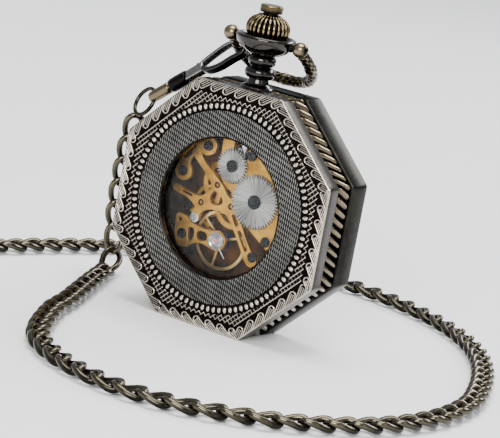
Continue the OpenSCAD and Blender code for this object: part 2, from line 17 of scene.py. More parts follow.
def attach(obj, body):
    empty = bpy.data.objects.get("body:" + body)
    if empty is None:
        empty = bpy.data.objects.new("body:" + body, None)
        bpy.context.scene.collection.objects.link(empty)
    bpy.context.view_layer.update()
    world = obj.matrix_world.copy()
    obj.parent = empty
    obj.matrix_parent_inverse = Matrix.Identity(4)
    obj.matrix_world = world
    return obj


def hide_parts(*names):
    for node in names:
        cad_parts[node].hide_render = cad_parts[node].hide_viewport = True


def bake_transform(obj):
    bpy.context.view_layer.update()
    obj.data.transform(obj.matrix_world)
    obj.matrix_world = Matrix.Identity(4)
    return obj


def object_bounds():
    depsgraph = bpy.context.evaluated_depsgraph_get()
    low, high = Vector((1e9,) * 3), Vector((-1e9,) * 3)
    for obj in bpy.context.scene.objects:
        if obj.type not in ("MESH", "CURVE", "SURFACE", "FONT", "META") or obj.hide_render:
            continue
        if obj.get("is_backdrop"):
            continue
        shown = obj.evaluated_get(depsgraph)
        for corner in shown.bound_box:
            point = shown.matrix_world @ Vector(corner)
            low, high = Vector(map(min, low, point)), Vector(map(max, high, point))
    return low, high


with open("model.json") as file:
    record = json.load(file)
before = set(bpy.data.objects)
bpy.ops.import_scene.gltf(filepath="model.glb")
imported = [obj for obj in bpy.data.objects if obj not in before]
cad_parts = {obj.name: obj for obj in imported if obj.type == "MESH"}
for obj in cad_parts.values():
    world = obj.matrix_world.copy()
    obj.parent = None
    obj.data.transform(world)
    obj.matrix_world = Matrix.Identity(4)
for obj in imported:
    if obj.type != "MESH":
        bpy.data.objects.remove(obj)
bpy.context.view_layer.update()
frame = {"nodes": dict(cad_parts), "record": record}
MM = 0.001
CASE_H, CASE_Y = 23.5, -1.485  # the middle of the case: above the table, and along Y
HALF_T = 6.95  # half the thickness of the closed case
STEM_D = 0.9  # how far the pendant's axis lies towards the back
PIVOT_H = 32.5  # the bow's axis, above the middle of the case
HINGE_H = -22.4  # the covers' hinge lines, below the middle of the case
BACK_HINGE_D, FRONT_HINGE_D = 3.52, -1.68
COVER_SLOTS = {"back_cover": "bronze_case", "front_cover": "gunmetal_case"}

# %% [markdown]
# The camera stands in front of the back cover, a little to the right and above, and is rolled so
# that the watch leans in the picture. A long lens keeps the eight sides nearly parallel.

# %% Camera
AZIMUTH, ELEVATION, ROLL = (math.radians(a) for a in (31.5, 11.4, 10.7))
CAMERA_FAR = 450 * MM
AIM_RIGHT, AIM_UP = 2.85 * MM, -2.0 * MM
LENS, SENSOR = 168, 36
back = Vector((math.sin(AZIMUTH) * math.cos(ELEVATION), -math.cos(AZIMUTH) * math.cos(ELEVATION),
               math.sin(ELEVATION)))
level_right = Vector((math.cos(AZIMUTH), math.sin(AZIMUTH), 0))
level_up = back.cross(level_right)
right = math.cos(ROLL) * level_right + math.sin(ROLL) * level_up
up = math.cos(ROLL) * level_up - math.sin(ROLL) * level_right
camera = bpy.data.objects.new("camera", bpy.data.cameras.new("camera"))
camera.data.lens = LENS
camera.data.sensor_width = SENSOR
camera.data.clip_start = 0.02
camera.data.clip_end = 20
aim = Vector((0, CASE_Y * MM, CASE_H * MM)) + level_right * AIM_RIGHT + level_up * AIM_UP
place = aim + back * CAMERA_FAR
turn = Matrix((right, up, back)).transposed().to_4x4()
camera.matrix_world = Matrix.Translation(place) @ turn
bpy.context.scene.collection.objects.link(camera)
bpy.context.scene.camera = camera
print("camera:", LENS, "mm lens, at", [round(v, 3) for v in place], "m")

# %% [markdown]
# Most shapes here are a function of two parameters, sampled on a grid of points. One helper turns
# such a grid into a mesh. It can close the grid round either way, adds the UV map that the grid
# itself gives, and keeps a "relief" value for each point, which the metals use to be dark in the
# hollows and bright on the crests. On the chain this value also carries painted light: each link is
# brighter on its upward side.

# %% A grid becomes a mesh
def finish_mesh(name, points, faces, smooth=True, relief=None, uv=None):
    """Makes an object from points in millimetres and a face list; it sits at the origin."""
    mesh = bpy.data.meshes.new(name)
    mesh.from_pydata((np.asarray(points, float) * MM).tolist(), [], faces)
    mesh.polygons.foreach_set("use_smooth", np.full(len(mesh.polygons), smooth))
    if relief is not None:
        layer = mesh.attributes.new("relief", "FLOAT", "POINT")
        layer.data.foreach_set("value", np.asarray(relief, np.float32).ravel())
    if uv is not None:
        loops = np.zeros(len(mesh.loops), np.int32)
        mesh.loops.foreach_get("vertex_index", loops)
        layer = mesh.uv_layers.new(name="surface")
        layer.data.foreach_set("uv", np.asarray(uv, np.float32).reshape(-1, 2)[loops].ravel())
    mesh.update()
    piece = bpy.data.objects.new(name, mesh)
    bpy.context.scene.collection.objects.link(piece)
    return piece


def grid_faces(rows, columns, close_rows=False, close_columns=True):
    """Quads between neighbouring rows and columns of a grid, with either way closed round."""
    i = np.arange(rows if close_rows else rows - 1)[:, None]
    j = np.arange(columns if close_columns else columns - 1)[None, :]
    a = i * columns + j
    b = i * columns + (j + 1) % columns
    c = (i + 1) % rows * columns + (j + 1) % columns
    d = (i + 1) % rows * columns + j
    return np.stack(np.broadcast_arrays(a, b, c, d), -1).reshape(-1, 4).tolist()


def grid_piece(name, grid, close_rows=False, close_columns=True, relief=None, uv=None, flip=False,
               caps=False, smooth=True):
    """A piece from a (rows, columns, 3) array of points; caps closes the first and last row."""
    rows, columns = grid.shape[:2]
    faces = grid_faces(rows, columns, close_rows, close_columns)
    if caps:
        faces.append(list(range(columns))[::-1])
        faces.append([(rows - 1) * columns + j for j in range(columns)])
    if flip:
        faces = [f[::-1] for f in faces]
    return finish_mesh(name, grid.reshape(-1, 3), faces, smooth, relief, uv)


def from_case(x, h, d):
    """Case coordinates (right, up from the middle, depth towards the back) to the row frame."""
    x, h, d = np.broadcast_arrays(x, h, d)
    return np.stack([x, CASE_Y - d, h + CASE_H], -1).astype(float)


def on_stem(x, y, z):
    """Coordinates about the pendant's axis, z up from the middle of the case."""
    x, y, z = np.broadcast_arrays(x, y, z)
    return np.stack([x, y + CASE_Y - STEM_D, z + CASE_H], -1).astype(float)


def angles(count):
    """count angles evenly round the full turn, the last one short of it."""
    return np.linspace(0, 2 * np.pi, count, endpoint=False)


# %% [markdown]
# An octagon with slightly rounded corners is one formula in polar form: the apothem divided by a
# high power mean of the cosines to the eight sides. Every eight-sided outline uses it.

# %% The octagon in polar form
SIDES = np.arange(8) * np.pi / 4


def octagon_radius(theta, sharp=160):
    """Distance from the centre to a rounded octagon of apothem 1, by a power mean of cosines."""
    reach = np.maximum(np.cos(theta[..., None] - SIDES), 0.01)
    return (reach ** sharp).sum(-1) ** (-1 / sharp)


def side_frame(x, h):
    """(distance towards the nearest side, place along that side) of points on the face."""
    turn_by = np.round(np.arctan2(h, x) / (np.pi / 4)) * np.pi / 4
    return x * np.cos(turn_by) + h * np.sin(turn_by), h * np.cos(turn_by) - x * np.sin(turn_by)


corner = octagon_radius(np.array([math.pi / 8]))[0]
print("octagon: its corners reach", round(float(corner), 3), "times its apothem")

# %% [markdown]
# ## Metals
# Plated bronze that has been rubbed is dark where nothing touches it and bright where fingers do.
# All the case metals are one recipe: two colours mixed by the relief of the surface and by a slow
# noise, fine scratches in the roughness, and a little bump. Object coordinates are in metres, so
# the noise scales are large numbers.

# %% A recipe for metal
def link(tree, a, b):
    """Joins the output a to the input b."""
    tree.links.new(a, b)


def ramp(tree, source, low, high, dark=(0, 0, 0, 1), bright=(1, 1, 1, 1)):
    """Maps a value between low and high to a colour between dark and bright."""
    node = tree.nodes.new("ShaderNodeValToRGB")
    node.color_ramp.elements[0].position = low
    node.color_ramp.elements[1].position = high
    node.color_ramp.elements[0].color = dark
    node.color_ramp.elements[1].color = bright
    link(tree, source, node.inputs["Fac"])
    return node.outputs["Color"]


def noise(tree, scale, stretch=(1, 1, 1), uv=False, detail=4):
    """Noise on object coordinates, or on the piece's own UV map, stretched along its axes."""
    where = tree.nodes.new("ShaderNodeTexCoord")
    mapping = tree.nodes.new("ShaderNodeMapping")
    mapping.inputs["Scale"].default_value = stretch
    node = tree.nodes.new("ShaderNodeTexNoise")
    node.inputs["Scale"].default_value = scale
    node.inputs["Detail"].default_value = detail
    link(tree, where.outputs["UV" if uv else "Object"], mapping.inputs["Vector"])
    link(tree, mapping.outputs["Vector"], node.inputs["Vector"])
    return node.outputs["Fac"]


def math_node(tree, operation, a, b=0.0, clamp=True):
    """One operation on two values, each a number or another node's output."""
    node = tree.nodes.new("ShaderNodeMath")
    node.operation = operation
    node.use_clamp = clamp
    for socket, value in zip(node.inputs, (a, b)):
        if isinstance(value, (int, float)):
            socket.default_value = value
        else:
            link(tree, value, socket)
    return node.outputs[0]


def material(name):
    """An empty material, with its node tree and its shader at hand."""
    made = bpy.data.materials.new(name)
    made.use_nodes = True
    shader = made.node_tree.nodes["Principled BSDF"]
    return made, made.node_tree, shader


def metal(name, dark, bright, rough=(0.22, 0.45), relief=None, blotch=350, brushed=None,
          bump=0.15, mix=(0.35, 0.7), coat=0.0):
    """Patinated metal: dark and bright mixed by relief and noise. brushed is (scale, stretch, uv)."""
    made, tree, shader = material(name)
    shader.inputs["Metallic"].default_value = 1
    shader.inputs["Coat Weight"].default_value = coat
    tone = noise(tree, blotch)
    if brushed:
        scale, stretch, uv = brushed
        tone = math_node(tree, "ADD", math_node(tree, "MULTIPLY", tone, 0.45),
                         math_node(tree, "MULTIPLY", noise(tree, scale, stretch, uv), 0.55))
    if relief:
        height = tree.nodes.new("ShaderNodeAttribute")
        height.attribute_name = "relief"
        # On the chain this ramp also carries painted light, brighter on each link's upward side.
        crest_and_top_light = ramp(tree, height.outputs["Fac"], *relief)
        tone = math_node(tree, "ADD", math_node(tree, "MULTIPLY", tone, 0.3),
                         math_node(tree, "MULTIPLY", crest_and_top_light, 0.75))
    link(tree, ramp(tree, tone, *mix, dark=(*dark, 1), bright=(*bright, 1)),
         shader.inputs["Base Color"])
    grain = noise(tree, 2500, detail=2)
    if brushed:
        grain = noise(tree, brushed[0] * 1.7, brushed[1], brushed[2], detail=2)
    gray = [(v, v, v, 1) for v in rough]
    link(tree, ramp(tree, grain, 0.3, 0.7, *gray), shader.inputs["Roughness"])
    bumps = tree.nodes.new("ShaderNodeBump")
    bumps.inputs["Strength"].default_value = bump
    bumps.inputs["Distance"].default_value = 0.00004
    link(tree, grain, bumps.inputs["Height"])
    link(tree, bumps.outputs["Normal"], shader.inputs["Normal"])
    return made


BRUSH_ROUND = (1.0, (1.2, 60, 1), True)
engraved_bronze = metal("engraved_bronze", (0.005, 0.004, 0.003), (0.66, 0.60, 0.50),
                        relief=(0.45, 1.0), rough=(0.18, 0.34), mix=(0.3, 0.95), bump=0.05)
guilloche_bronze = metal("guilloche_bronze", (0.006, 0.006, 0.006), (0.42, 0.41, 0.38),
                         relief=(0.4, 0.95), rough=(0.24, 0.38), mix=(0.3, 1.0), bump=0.05)
edge_bronze = metal("edge_bronze", (0.36, 0.31, 0.24), (0.68, 0.61, 0.49), rough=(0.16, 0.3),
                    bump=0.05)
rope_bronze = metal("rope_bronze", (0.005, 0.004, 0.003), (0.23, 0.18, 0.11), relief=(0.4, 1.05),
                    rough=(0.16, 0.32), mix=(0.3, 1.0), bump=0.05)
cover_bronze = metal("cover_bronze", (0.006, 0.005, 0.0035), (0.035, 0.028, 0.019),
                     brushed=BRUSH_ROUND, rough=(0.24, 0.4), mix=(0.35, 0.65))
gunmetal = metal("gunmetal", (0.006, 0.006, 0.005), (0.032, 0.030, 0.026), brushed=BRUSH_ROUND,
                 rough=(0.24, 0.4), mix=(0.35, 0.65))
polished_gunmetal = metal("polished_gunmetal", (0.016, 0.014, 0.013), (0.045, 0.038, 0.033),
                          rough=(0.08, 0.18), blotch=220, bump=0.02, coat=0.4)
crown_bronze = metal("crown_bronze", (0.008, 0.006, 0.004), (0.36, 0.27, 0.13), relief=(0.25, 1.0),
                     rough=(0.14, 0.3), mix=(0.25, 1.0), bump=0.05)
worn_bronze = metal("worn_bronze", (0.010, 0.009, 0.008), (0.30, 0.23, 0.14), relief=(0.3, 1.1),
                    rough=(0.14, 0.32), blotch=400, mix=(0.3, 1.0), bump=0.05)
chain_metal = metal("chain_metal", (0.012, 0.011, 0.009), (0.15, 0.13, 0.09), relief=(0.35, 1.1),
                    rough=(0.13, 0.28), blotch=260, mix=(0.3, 1.0), bump=0.04)
clasp_metal = metal("clasp_metal", (0.10, 0.10, 0.10), (0.34, 0.33, 0.31),
                    brushed=(900, (1, 1, 12), False), rough=(0.18, 0.32), mix=(0.35, 0.7), bump=0.05)
gilt = metal("gilt", (0.30, 0.14, 0.016), (0.66, 0.37, 0.06), rough=(0.36, 0.52), blotch=400,
             bump=0.04, mix=(0.3, 0.7))
pale_gilt = metal("pale_gilt", (0.50, 0.33, 0.10), (0.80, 0.60, 0.24), rough=(0.28, 0.42), blotch=500,
                  bump=0.04, mix=(0.3, 0.7))
copper_gilt = metal("copper_gilt", (0.02, 0.009, 0.004), (0.20, 0.08, 0.02), rough=(0.3, 0.5),
                    blotch=260, bump=0.04, mix=(0.35, 0.75))
dark_steel = metal("dark_steel", (0.006, 0.006, 0.008), (0.03, 0.032, 0.038), rough=(0.2, 0.4),
                   blotch=400, bump=0.04)
steel = metal("steel", (0.30, 0.30, 0.30), (0.60, 0.60, 0.59), rough=(0.16, 0.3), blotch=800,
              bump=0.04)
black_steel = metal("black_steel", (0.004, 0.005, 0.006), (0.018, 0.021, 0.026), rough=(0.12, 0.26),
                    blotch=700, coat=0.2, bump=0.02)
blue_steel = metal("blue_steel", (0.01, 0.02, 0.10), (0.04, 0.09, 0.32), rough=(0.1, 0.22), bump=0.02)
print("metals: bronze, gunmetal, gilt and steel are ready")

# %% [markdown]
# The two winding wheels are brushed from their centres outwards, so their shine turns with the
# angle round the hub. A gradient texture of radial type gives that angle; noise on it gives rays, and
# a cosine of twice the angle paints two bright and two dark wedges into the colour: a painted highlight.
# The crystals hardly show: they let all light through but a faint soft sheen.

# %% Sunburst steel, glass, jewel and enamel
RATCHET_AT, CROWN_WHEEL_AT = (5.3, 2.3), (-1.1, 7.8)
GLASS_SHEEN = 0.015


def sunburst(name, at):
    """Steel brushed in rays about a centre on the back side of the movement, with a painted highlight of
    two bright wedges in its colour.
    """
    made, tree, shader = material(name)
    shader.inputs["Metallic"].default_value = 1
    where = tree.nodes.new("ShaderNodeTexCoord")
    mapping = tree.nodes.new("ShaderNodeMapping")
    mapping.vector_type = "TEXTURE"
    mapping.inputs["Location"].default_value = (at[0] * MM, 0, (at[1] + CASE_H) * MM)
    mapping.inputs["Rotation"].default_value = (math.pi / 2, 0, 0)
    rays = tree.nodes.new("ShaderNodeTexGradient")
    rays.gradient_type = "RADIAL"
    wave = tree.nodes.new("ShaderNodeTexNoise")
    wave.noise_dimensions = "1D"
    wave.inputs["Scale"].default_value = 90
    wave.inputs["Detail"].default_value = 6
    link(tree, where.outputs["Object"], mapping.inputs["Vector"])
    link(tree, mapping.outputs["Vector"], rays.inputs["Vector"])
    link(tree, rays.outputs["Fac"], wave.inputs["W"])
    # Painted highlight: two bright and two dark wedges round the hub, added to the colour.
    turn_by = math_node(tree, "MULTIPLY", rays.outputs["Fac"], 4 * math.pi, clamp=False)
    painted_sweep_highlight = math_node(tree, "COSINE", math_node(tree, "ADD", turn_by, 0.9, clamp=False), clamp=False)
    painted_sweep_highlight = math_node(tree, "MULTIPLY", painted_sweep_highlight, 0.12, clamp=False)
    tone = math_node(tree, "ADD", painted_sweep_highlight, wave.outputs["Fac"])
    tones = ((0.06, 0.06, 0.058, 1), (0.5, 0.495, 0.475, 1))
    link(tree, ramp(tree, tone, 0.2, 0.8, *tones), shader.inputs["Base Color"])
    greys = ((0.2, 0.2, 0.2, 1), (0.42, 0.42, 0.42, 1))
    link(tree, ramp(tree, wave.outputs["Fac"], 0.3, 0.7, *greys), shader.inputs["Roughness"])
    return made


def clear(name, colour, rough, ior, weight):
    """A see-through stone: weight is how much of the light goes in, ior how far it bends."""
    made, tree, shader = material(name)
    shader.inputs["Base Color"].default_value = (*colour, 1)
    shader.inputs["Transmission Weight"].default_value = weight
    shader.inputs["IOR"].default_value = ior
    smear = noise(tree, 220)
    low, high = ((v, v, v, 1) for v in (rough, rough + 0.04))
    link(tree, ramp(tree, smear, 0.4, 0.8, low, high), shader.inputs["Roughness"])
    return made


ratchet_steel = sunburst("ratchet_steel", RATCHET_AT)
crown_wheel_steel = sunburst("crown_wheel_steel", CROWN_WHEEL_AT)
ruby = clear("ruby", (0.62, 0.02, 0.09), 0.02, 1.76, 0.6)


def crystal_glass():
    """Thin flat glass: nearly all see-through, with a faint soft sheen."""
    made, tree, shader = material("crystal_glass")
    tree.nodes.remove(shader)
    output = tree.nodes["Material Output"]
    through = tree.nodes.new("ShaderNodeBsdfTransparent")
    gloss = tree.nodes.new("ShaderNodeBsdfGlossy")
    gloss.inputs["Roughness"].default_value = 0.3
    both = tree.nodes.new("ShaderNodeMixShader")
    both.inputs["Fac"].default_value = GLASS_SHEEN
    link(tree, through.outputs["BSDF"], both.inputs[1])
    link(tree, gloss.outputs["BSDF"], both.inputs[2])
    link(tree, both.outputs["Shader"], output.inputs["Surface"])
    return made


glass = crystal_glass()


def enamel(name, low, high, rough):
    """Fired enamel or printed ink: nearly even, with a faint cloud in it."""
    made, tree, shader = material(name)
    link(tree, ramp(tree, noise(tree, 300), 0.3, 0.7, (*low, 1), (*high, 1)),
         shader.inputs["Base Color"])
    shader.inputs["Roughness"].default_value = rough
    shader.inputs["Coat Weight"].default_value = 0.5
    return made


white_enamel = enamel("white_enamel", (0.78, 0.75, 0.67), (0.86, 0.84, 0.77), 0.3)
black_ink = enamel("black_ink", (0.012, 0.012, 0.014), (0.025, 0.025, 0.03), 0.4)
print("sunburst steel, ruby, glass and enamel are ready")

# %% [markdown]
# Every new piece needs the same last steps: a material and a body to ride on; the CAD nodes that
# it stands for are hidden.

# %% Dress a piece
def dress(piece, made, body, slot, *stands_for):
    """Gives a piece its material and body, and hides the CAD nodes it stands for, if any. slot is not used.
    """
    piece.data.materials.clear()
    piece.data.materials.append(made)
    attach(piece, body)
    stands_for = [node for node in stands_for if node]
    if stands_for:
        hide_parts(*stands_for)
    return piece


# %% [markdown]
# ## The chain
# A curb chain is one oval link repeated. Each link is twisted by 32 degrees to either side of its
# middle, so that neighbours pass through each other aslant and the chain lies flat. The route is the
# one that the CAD tube follows, made smooth by a Catmull-Rom curve through the same points.

# %% The chain's route
CHAIN_ROUTE = np.array([
    [-30.4, 5, 33.4], [-31.4, 5.5, 29], [-32.4, 6.5, 22], [-33, 7.5, 14], [-33, 8.5, 7.5],
    [-32.4, 7.5, 3.6], [-31, 4, 2], [-28.5, -2, 2], [-25.5, -9, 2], [-22, -17, 2], [-19, -24, 2],
    [-16.5, -31, 2], [-13, -38, 2], [-9, -45, 2], [-4, -51.5, 2], [3, -56.5, 2], [10, -59.5, 2],
    [18, -61, 2], [26, -60.5, 2], [33.5, -58, 2], [40.5, -53.5, 2], [47, -47.5, 2],
    [52.5, -40, 2], [56.5, -32, 2], [59, -22, 2], [59.5, -12, 2], [58, -1, 2], [54.5, 9, 2],
    [49.5, 20, 2], [43, 31, 2], [35.5, 40, 2], [26, 47.5, 2], [14, 53, 2], [1, 55.5, 2],
    [-12, 54, 2], [-25, 48, 2], [-35.5, 38.5, 2], [-42.5, 27.5, 2], [-47, 16, 2], [-50, 6, 2],
    [-52.5, -4, 2], [-57, -12.5, 2], [-63.5, -18.5, 2]]) + [0, CASE_Y, 0]


def catmull_rom(p0, p1, p2, p3, u):
    """The point at share u of the way from p1 to p2, on the smooth curve through all four."""
    return 0.5 * (2 * p1 + (p2 - p0) * u + (2 * p0 - 5 * p1 + 4 * p2 - p3) * u ** 2
                  + (3 * p1 - p0 - 3 * p2 + p3) * u ** 3)


def smooth_route(route, count):
    """count points evenly spaced along the Catmull-Rom curve through the route's points."""
    last = len(route) - 1
    t = np.linspace(0, last, 40 * last)
    i = np.minimum(t.astype(int), last - 1)
    u = (t - i)[:, None]
    p0, p1 = route[np.maximum(i - 1, 0)], route[i]
    p2, p3 = route[i + 1], route[np.minimum(i + 2, last)]
    line = catmull_rom(p0, p1, p2, p3, u)
    along = np.concatenate([[0], np.cumsum(np.linalg.norm(np.diff(line, axis=0), axis=1))])
    at = np.linspace(0, along[-1], count)
    return np.stack([np.interp(at, along, line[:, k]) for k in range(3)], 1), along[-1]


def unit(v):
    """Vectors divided by their lengths."""
    return v / np.maximum(np.linalg.norm(v, axis=-1, keepdims=True), 1e-12)


LINK_PITCH = 4.75
LINK_HALF, LINK_SIDE, LINK_WIRE = 2.95, 1.72, 0.66
LINK_ROUND, WIRE_SIDES = 26, 9
FALL_FACING = np.array([0.35, -0.94, 0])  # where the links' flats face on the way down
LINK_TWIST = np.radians(32)
SINK, DRAWN_IN = 0.4, 0.0105  # on the table: millimetres lower, and a share nearer the middle


def chain_links(count, centres, heading):
    """Twisted ovals: a ring swept along cos/sin ovals whose plane turns with the way along."""
    tau = angles(LINK_ROUND)[None, :, None]
    phi = angles(WIRE_SIDES)[None, None, :]
    along = LINK_HALF * np.sign(np.cos(tau)) * np.abs(np.cos(tau)) ** 0.82
    aside = LINK_SIDE * np.sign(np.sin(tau)) * np.abs(np.sin(tau)) ** 0.9
    out_a, out_s = np.cos(tau) / LINK_HALF, np.sin(tau) / LINK_SIDE
    size = np.hypot(out_a, out_s)
    a = along + LINK_WIRE * np.cos(phi) * out_a / size
    s = aside + LINK_WIRE * np.cos(phi) * out_s / size
    n = LINK_WIRE * np.sin(phi) + 0 * a
    twist = LINK_TWIST * a / LINK_HALF
    s, n = s * np.cos(twist) - n * np.sin(twist), s * np.sin(twist) + n * np.cos(twist)
    flat = np.minimum(np.hypot(heading[:, 0], heading[:, 1]) / 0.7, 1)[:, None]
    normal = flat * np.array([0, 0, 1]) + (1 - flat) * FALL_FACING
    side = unit(np.cross(normal, heading))
    normal = np.cross(heading, side)
    shape = (a[..., None] * heading[:, None, None] + s[..., None] * side[:, None, None]
             + n[..., None] * normal[:, None, None])
    points = centres[:, None, None] + shape
    # Painted light: the side of the wire that faces along the link's normal, up on the table and forward
    # where the chain hangs, gets the higher value and is painted brighter than its underside.
    crest_and_top_light = 0.25 + 0.75 * np.clip((n + 1.3) / 2.6, 0, 1) + np.zeros(points.shape[:3])
    faces = []
    one = grid_faces(LINK_ROUND, WIRE_SIDES, close_rows=True)
    for k in range(count):
        faces += [[v + k * LINK_ROUND * WIRE_SIDES for v in f] for f in one]
    return points.reshape(-1, 3), faces, crest_and_top_light.ravel()


chain_line, chain_length = smooth_route(CHAIN_ROUTE, 160)
link_count = int(chain_length // LINK_PITCH)
line_fine, _ = smooth_route(CHAIN_ROUTE, 8 * link_count + 1)
link_centres = line_fine[4::8][:link_count].copy()
link_heading = unit(line_fine[6::8][:link_count] - line_fine[2::8][:link_count])
lowered = np.clip((10 - link_centres[:, 2]) / 8, 0, 1)
link_centres[:, 2] -= SINK * lowered
link_centres[:, :2] *= 1 - DRAWN_IN * lowered[:, None]
points, faces, crest_and_top_light = chain_links(link_count, link_centres, link_heading)
chain = finish_mesh("curb_chain", points, faces, relief=crest_and_top_light)
chain.data.materials.append(chain_metal)
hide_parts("chain")
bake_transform(chain)
print("chain:", round(chain_length), "mm long,", link_count, "links,", len(faces), "faces")

# %% [markdown]
# The chain's far end has two small rings and a bar that goes through a buttonhole. Rings and wires
# are a circle carried along a path, so one sweep makes them all.

# %% Sweeps and rings
def sweep(name, line, radius, sides=16, closed=False, relief=None, caps=True):
    """A tube: at each point of line a circle of that radius stands across the line's heading."""
    line = np.asarray(line, float)
    ahead, behind = np.roll(line, -1, 0), np.roll(line, 1, 0)
    if not closed:
        ahead[-1], behind[0] = line[-1], line[0]
    heading = unit(ahead - behind)
    spread = heading - heading.mean(0)
    across = np.linalg.svd(spread)[2][-1] if len(line) > 3 and np.ptp(spread) > 1e-3 else None
    if across is None:
        across = unit(np.cross(heading[0], [0.3, 0.5, 0.81]))
    first = unit(across - (heading @ across)[:, None] * heading)
    second = np.cross(heading, first)
    a = angles(sides)[None, :, None]
    radius = np.broadcast_to(np.asarray(radius, float), (len(line), sides))[..., None]
    grid = line[:, None] + radius * (np.cos(a) * first[:, None] + np.sin(a) * second[:, None])
    tone = relief if relief is not None else np.full(grid.shape[:2], 0.6)
    return grid_piece(name, grid, close_rows=closed, relief=tone, caps=caps and not closed)


CHAIN_END = np.array([-66.6, -20.4 + CASE_Y, 1.0])
END_HEADING = unit(np.array([-6.5, -6.0, 0]))
END_SIDE = np.array([-END_HEADING[1], END_HEADING[0], 0])
UP = np.array([0, 0, 1.0])


def ring_line(centre, radius, first, second, count=48):
    """Points of a circle in the plane of the two directions."""
    a = angles(count)[:, None]
    return centre + radius * (np.cos(a) * first + np.sin(a) * second)


for number, step in enumerate((0, 4.2)):
    centre = CHAIN_END + step * END_HEADING
    ring = sweep(f"end_ring_{number}", ring_line(centre, 1.7, END_HEADING, END_SIDE), 0.45, 10,
                 closed=True)
    dress(ring, chain_metal, "root", "bronze_case", "chain_ring" if number == 0 else None)
s = np.linspace(-1, 1, 61)
bar_line = CHAIN_END + 7.2 * END_HEADING + 10.6 * s[:, None] * END_SIDE
bar_r = 0.62 + 0.36 * np.exp(-((np.abs(s) - 0.95) / 0.045) ** 2) + 0.25 * np.exp(-(s / 0.12) ** 2)
bar_r = bar_r * np.sqrt(np.clip(1.0001 - np.abs(s) ** 40, 0.001, 1))
end_bar = sweep("end_bar", bar_line, bar_r[:, None], 20)
dress(end_bar, chain_metal, "root", "bronze_case", "chain_bar")
print("far end: two rings and a bar of", round(float(np.ptp(bar_line @ END_SIDE)), 1), "mm")

# %% [markdown]
# ## The engraved covers
# Both covers carry the same die-struck ornament: a bright edge, a border of slanted leaves, a
# waffle of small square pits and a ring of beads, round a flat band of wavy lines. The ornament is
# one height formula over the face and the lines are another, both sampled finely enough for the
# smallest pit, so the light catches real edges. The height also goes into "relief".

# %% The ornament's height
WINDOW_R = 13.5
APOTHEM = 23.5
BEAD_R, BEADS = 19.45, 96
BEAD_GROOVE_R, LIP_R = 20.4, 18.72  # the ring of beads lies between these two
LINES_R = 18.62  # the wavy lines reach out to here
LEAF_PITCH = 2 * APOTHEM * math.tan(math.pi / 8) / 7
PIT_PITCH = 0.8


def ridge(distance, width):
    """A smooth ridge, 1 on its line and falling off over its width."""
    return np.exp(-(distance / width) ** 2)


print("ornament:", BEADS, "beads, leaves", round(LEAF_PITCH, 2), "mm and pits", PIT_PITCH, "mm apart")


def leaf_border(along, inside, lean):
    """Slanted leaves open to the edge: a rim shaped as a long U round two straight veins."""
    best = np.zeros_like(along)
    slant = math.radians(34)
    for neighbour in (-1, 0, 1, 2):
        a = ((along * lean / LEAF_PITCH + 0.5) % 1 - 0.5 + neighbour - 1) * LEAF_PITCH
        la = a * math.cos(slant) + inside * math.sin(slant)
        lb = inside * math.cos(slant) - a * math.sin(slant)
        rim = ridge(np.hypot(np.maximum(la - 1.0, 0), lb - 1.0) - 0.6, 0.2)
        veins = ridge(np.abs(lb - 1.0) - 0.19, 0.13) * np.clip((1.15 - la) / 0.1, 0, 1)
        best = np.maximum(best, np.maximum(rim, veins))
    return best


def face_height(x, h):
    """(height in mm, relief from 0 to 1) of the ornament, zero at the flat top of the cover."""
    r = np.hypot(x, h)
    towards, along = side_frame(x, h)
    inside = APOTHEM - towards
    g1, g2 = (x + h) / math.sqrt(2) / PIT_PITCH, (x - h) / math.sqrt(2) / PIT_PITCH
    main_bars = np.clip((np.abs(g2 % 1 - 0.5) * 2 - 0.62) / 0.2, 0, 1)
    cross_bars = np.clip((np.abs(g1 % 1 - 0.5) * 2 - 0.68) / 0.2, 0, 1)
    waffle = np.maximum(main_bars, 0.72 * cross_bars)
    lean = np.where((towards + h < 0.01) & (h < 0), -1, 1)
    leaves = leaf_border(along, inside, lean) * np.clip((2.2 - inside) / 0.1, 0, 1)
    border = np.clip((inside - 2.4) / 0.12, 0, 1)
    height = waffle * border + leaves * (1 - border)
    edge = np.clip((0.32 - inside) / 0.1, 0, 1)
    height = np.maximum(height, edge)
    angle = np.arctan2(h, x) / (2 * np.pi) * BEADS
    bead_a = ((angle % 1) - 0.5) * 2 * np.pi * BEAD_R / BEADS
    bead = np.clip(1 - (bead_a / 0.48) ** 2 - ((r - BEAD_R - 0.1) / 0.7) ** 2, 0, 1) ** 0.5
    groove = np.clip((BEAD_GROOVE_R - r) / 0.15, 0, 1)
    height = height * (1 - groove) + (bead * 1.25 - 0.1) * groove
    lip = ridge(r - LIP_R, 0.1)
    height = np.maximum(height, 0.45 * lip)
    bevel = np.clip((0.28 - inside) / 0.28, 0, 1)
    return 0.3 * (np.clip(height, -0.1, 1.25) - 1) - 0.3 * bevel, np.clip(height, 0, 1) ** 0.9


def guilloche_height(x, h):
    """Upright lines that waver from side to side, as an engine-turning lathe cuts them."""
    waver = 0.08 * np.sin(2 * np.pi * (h / 1.0 + 0.3 * x))
    wave = 0.5 + 0.5 * np.cos(2 * np.pi * (x + waver) / 0.45)
    dashes = 0.85 + 0.15 * np.cos(2 * np.pi * (h / 1.0 + 0.3 * x))
    return 0.1 * (wave * dashes - 1), wave * dashes


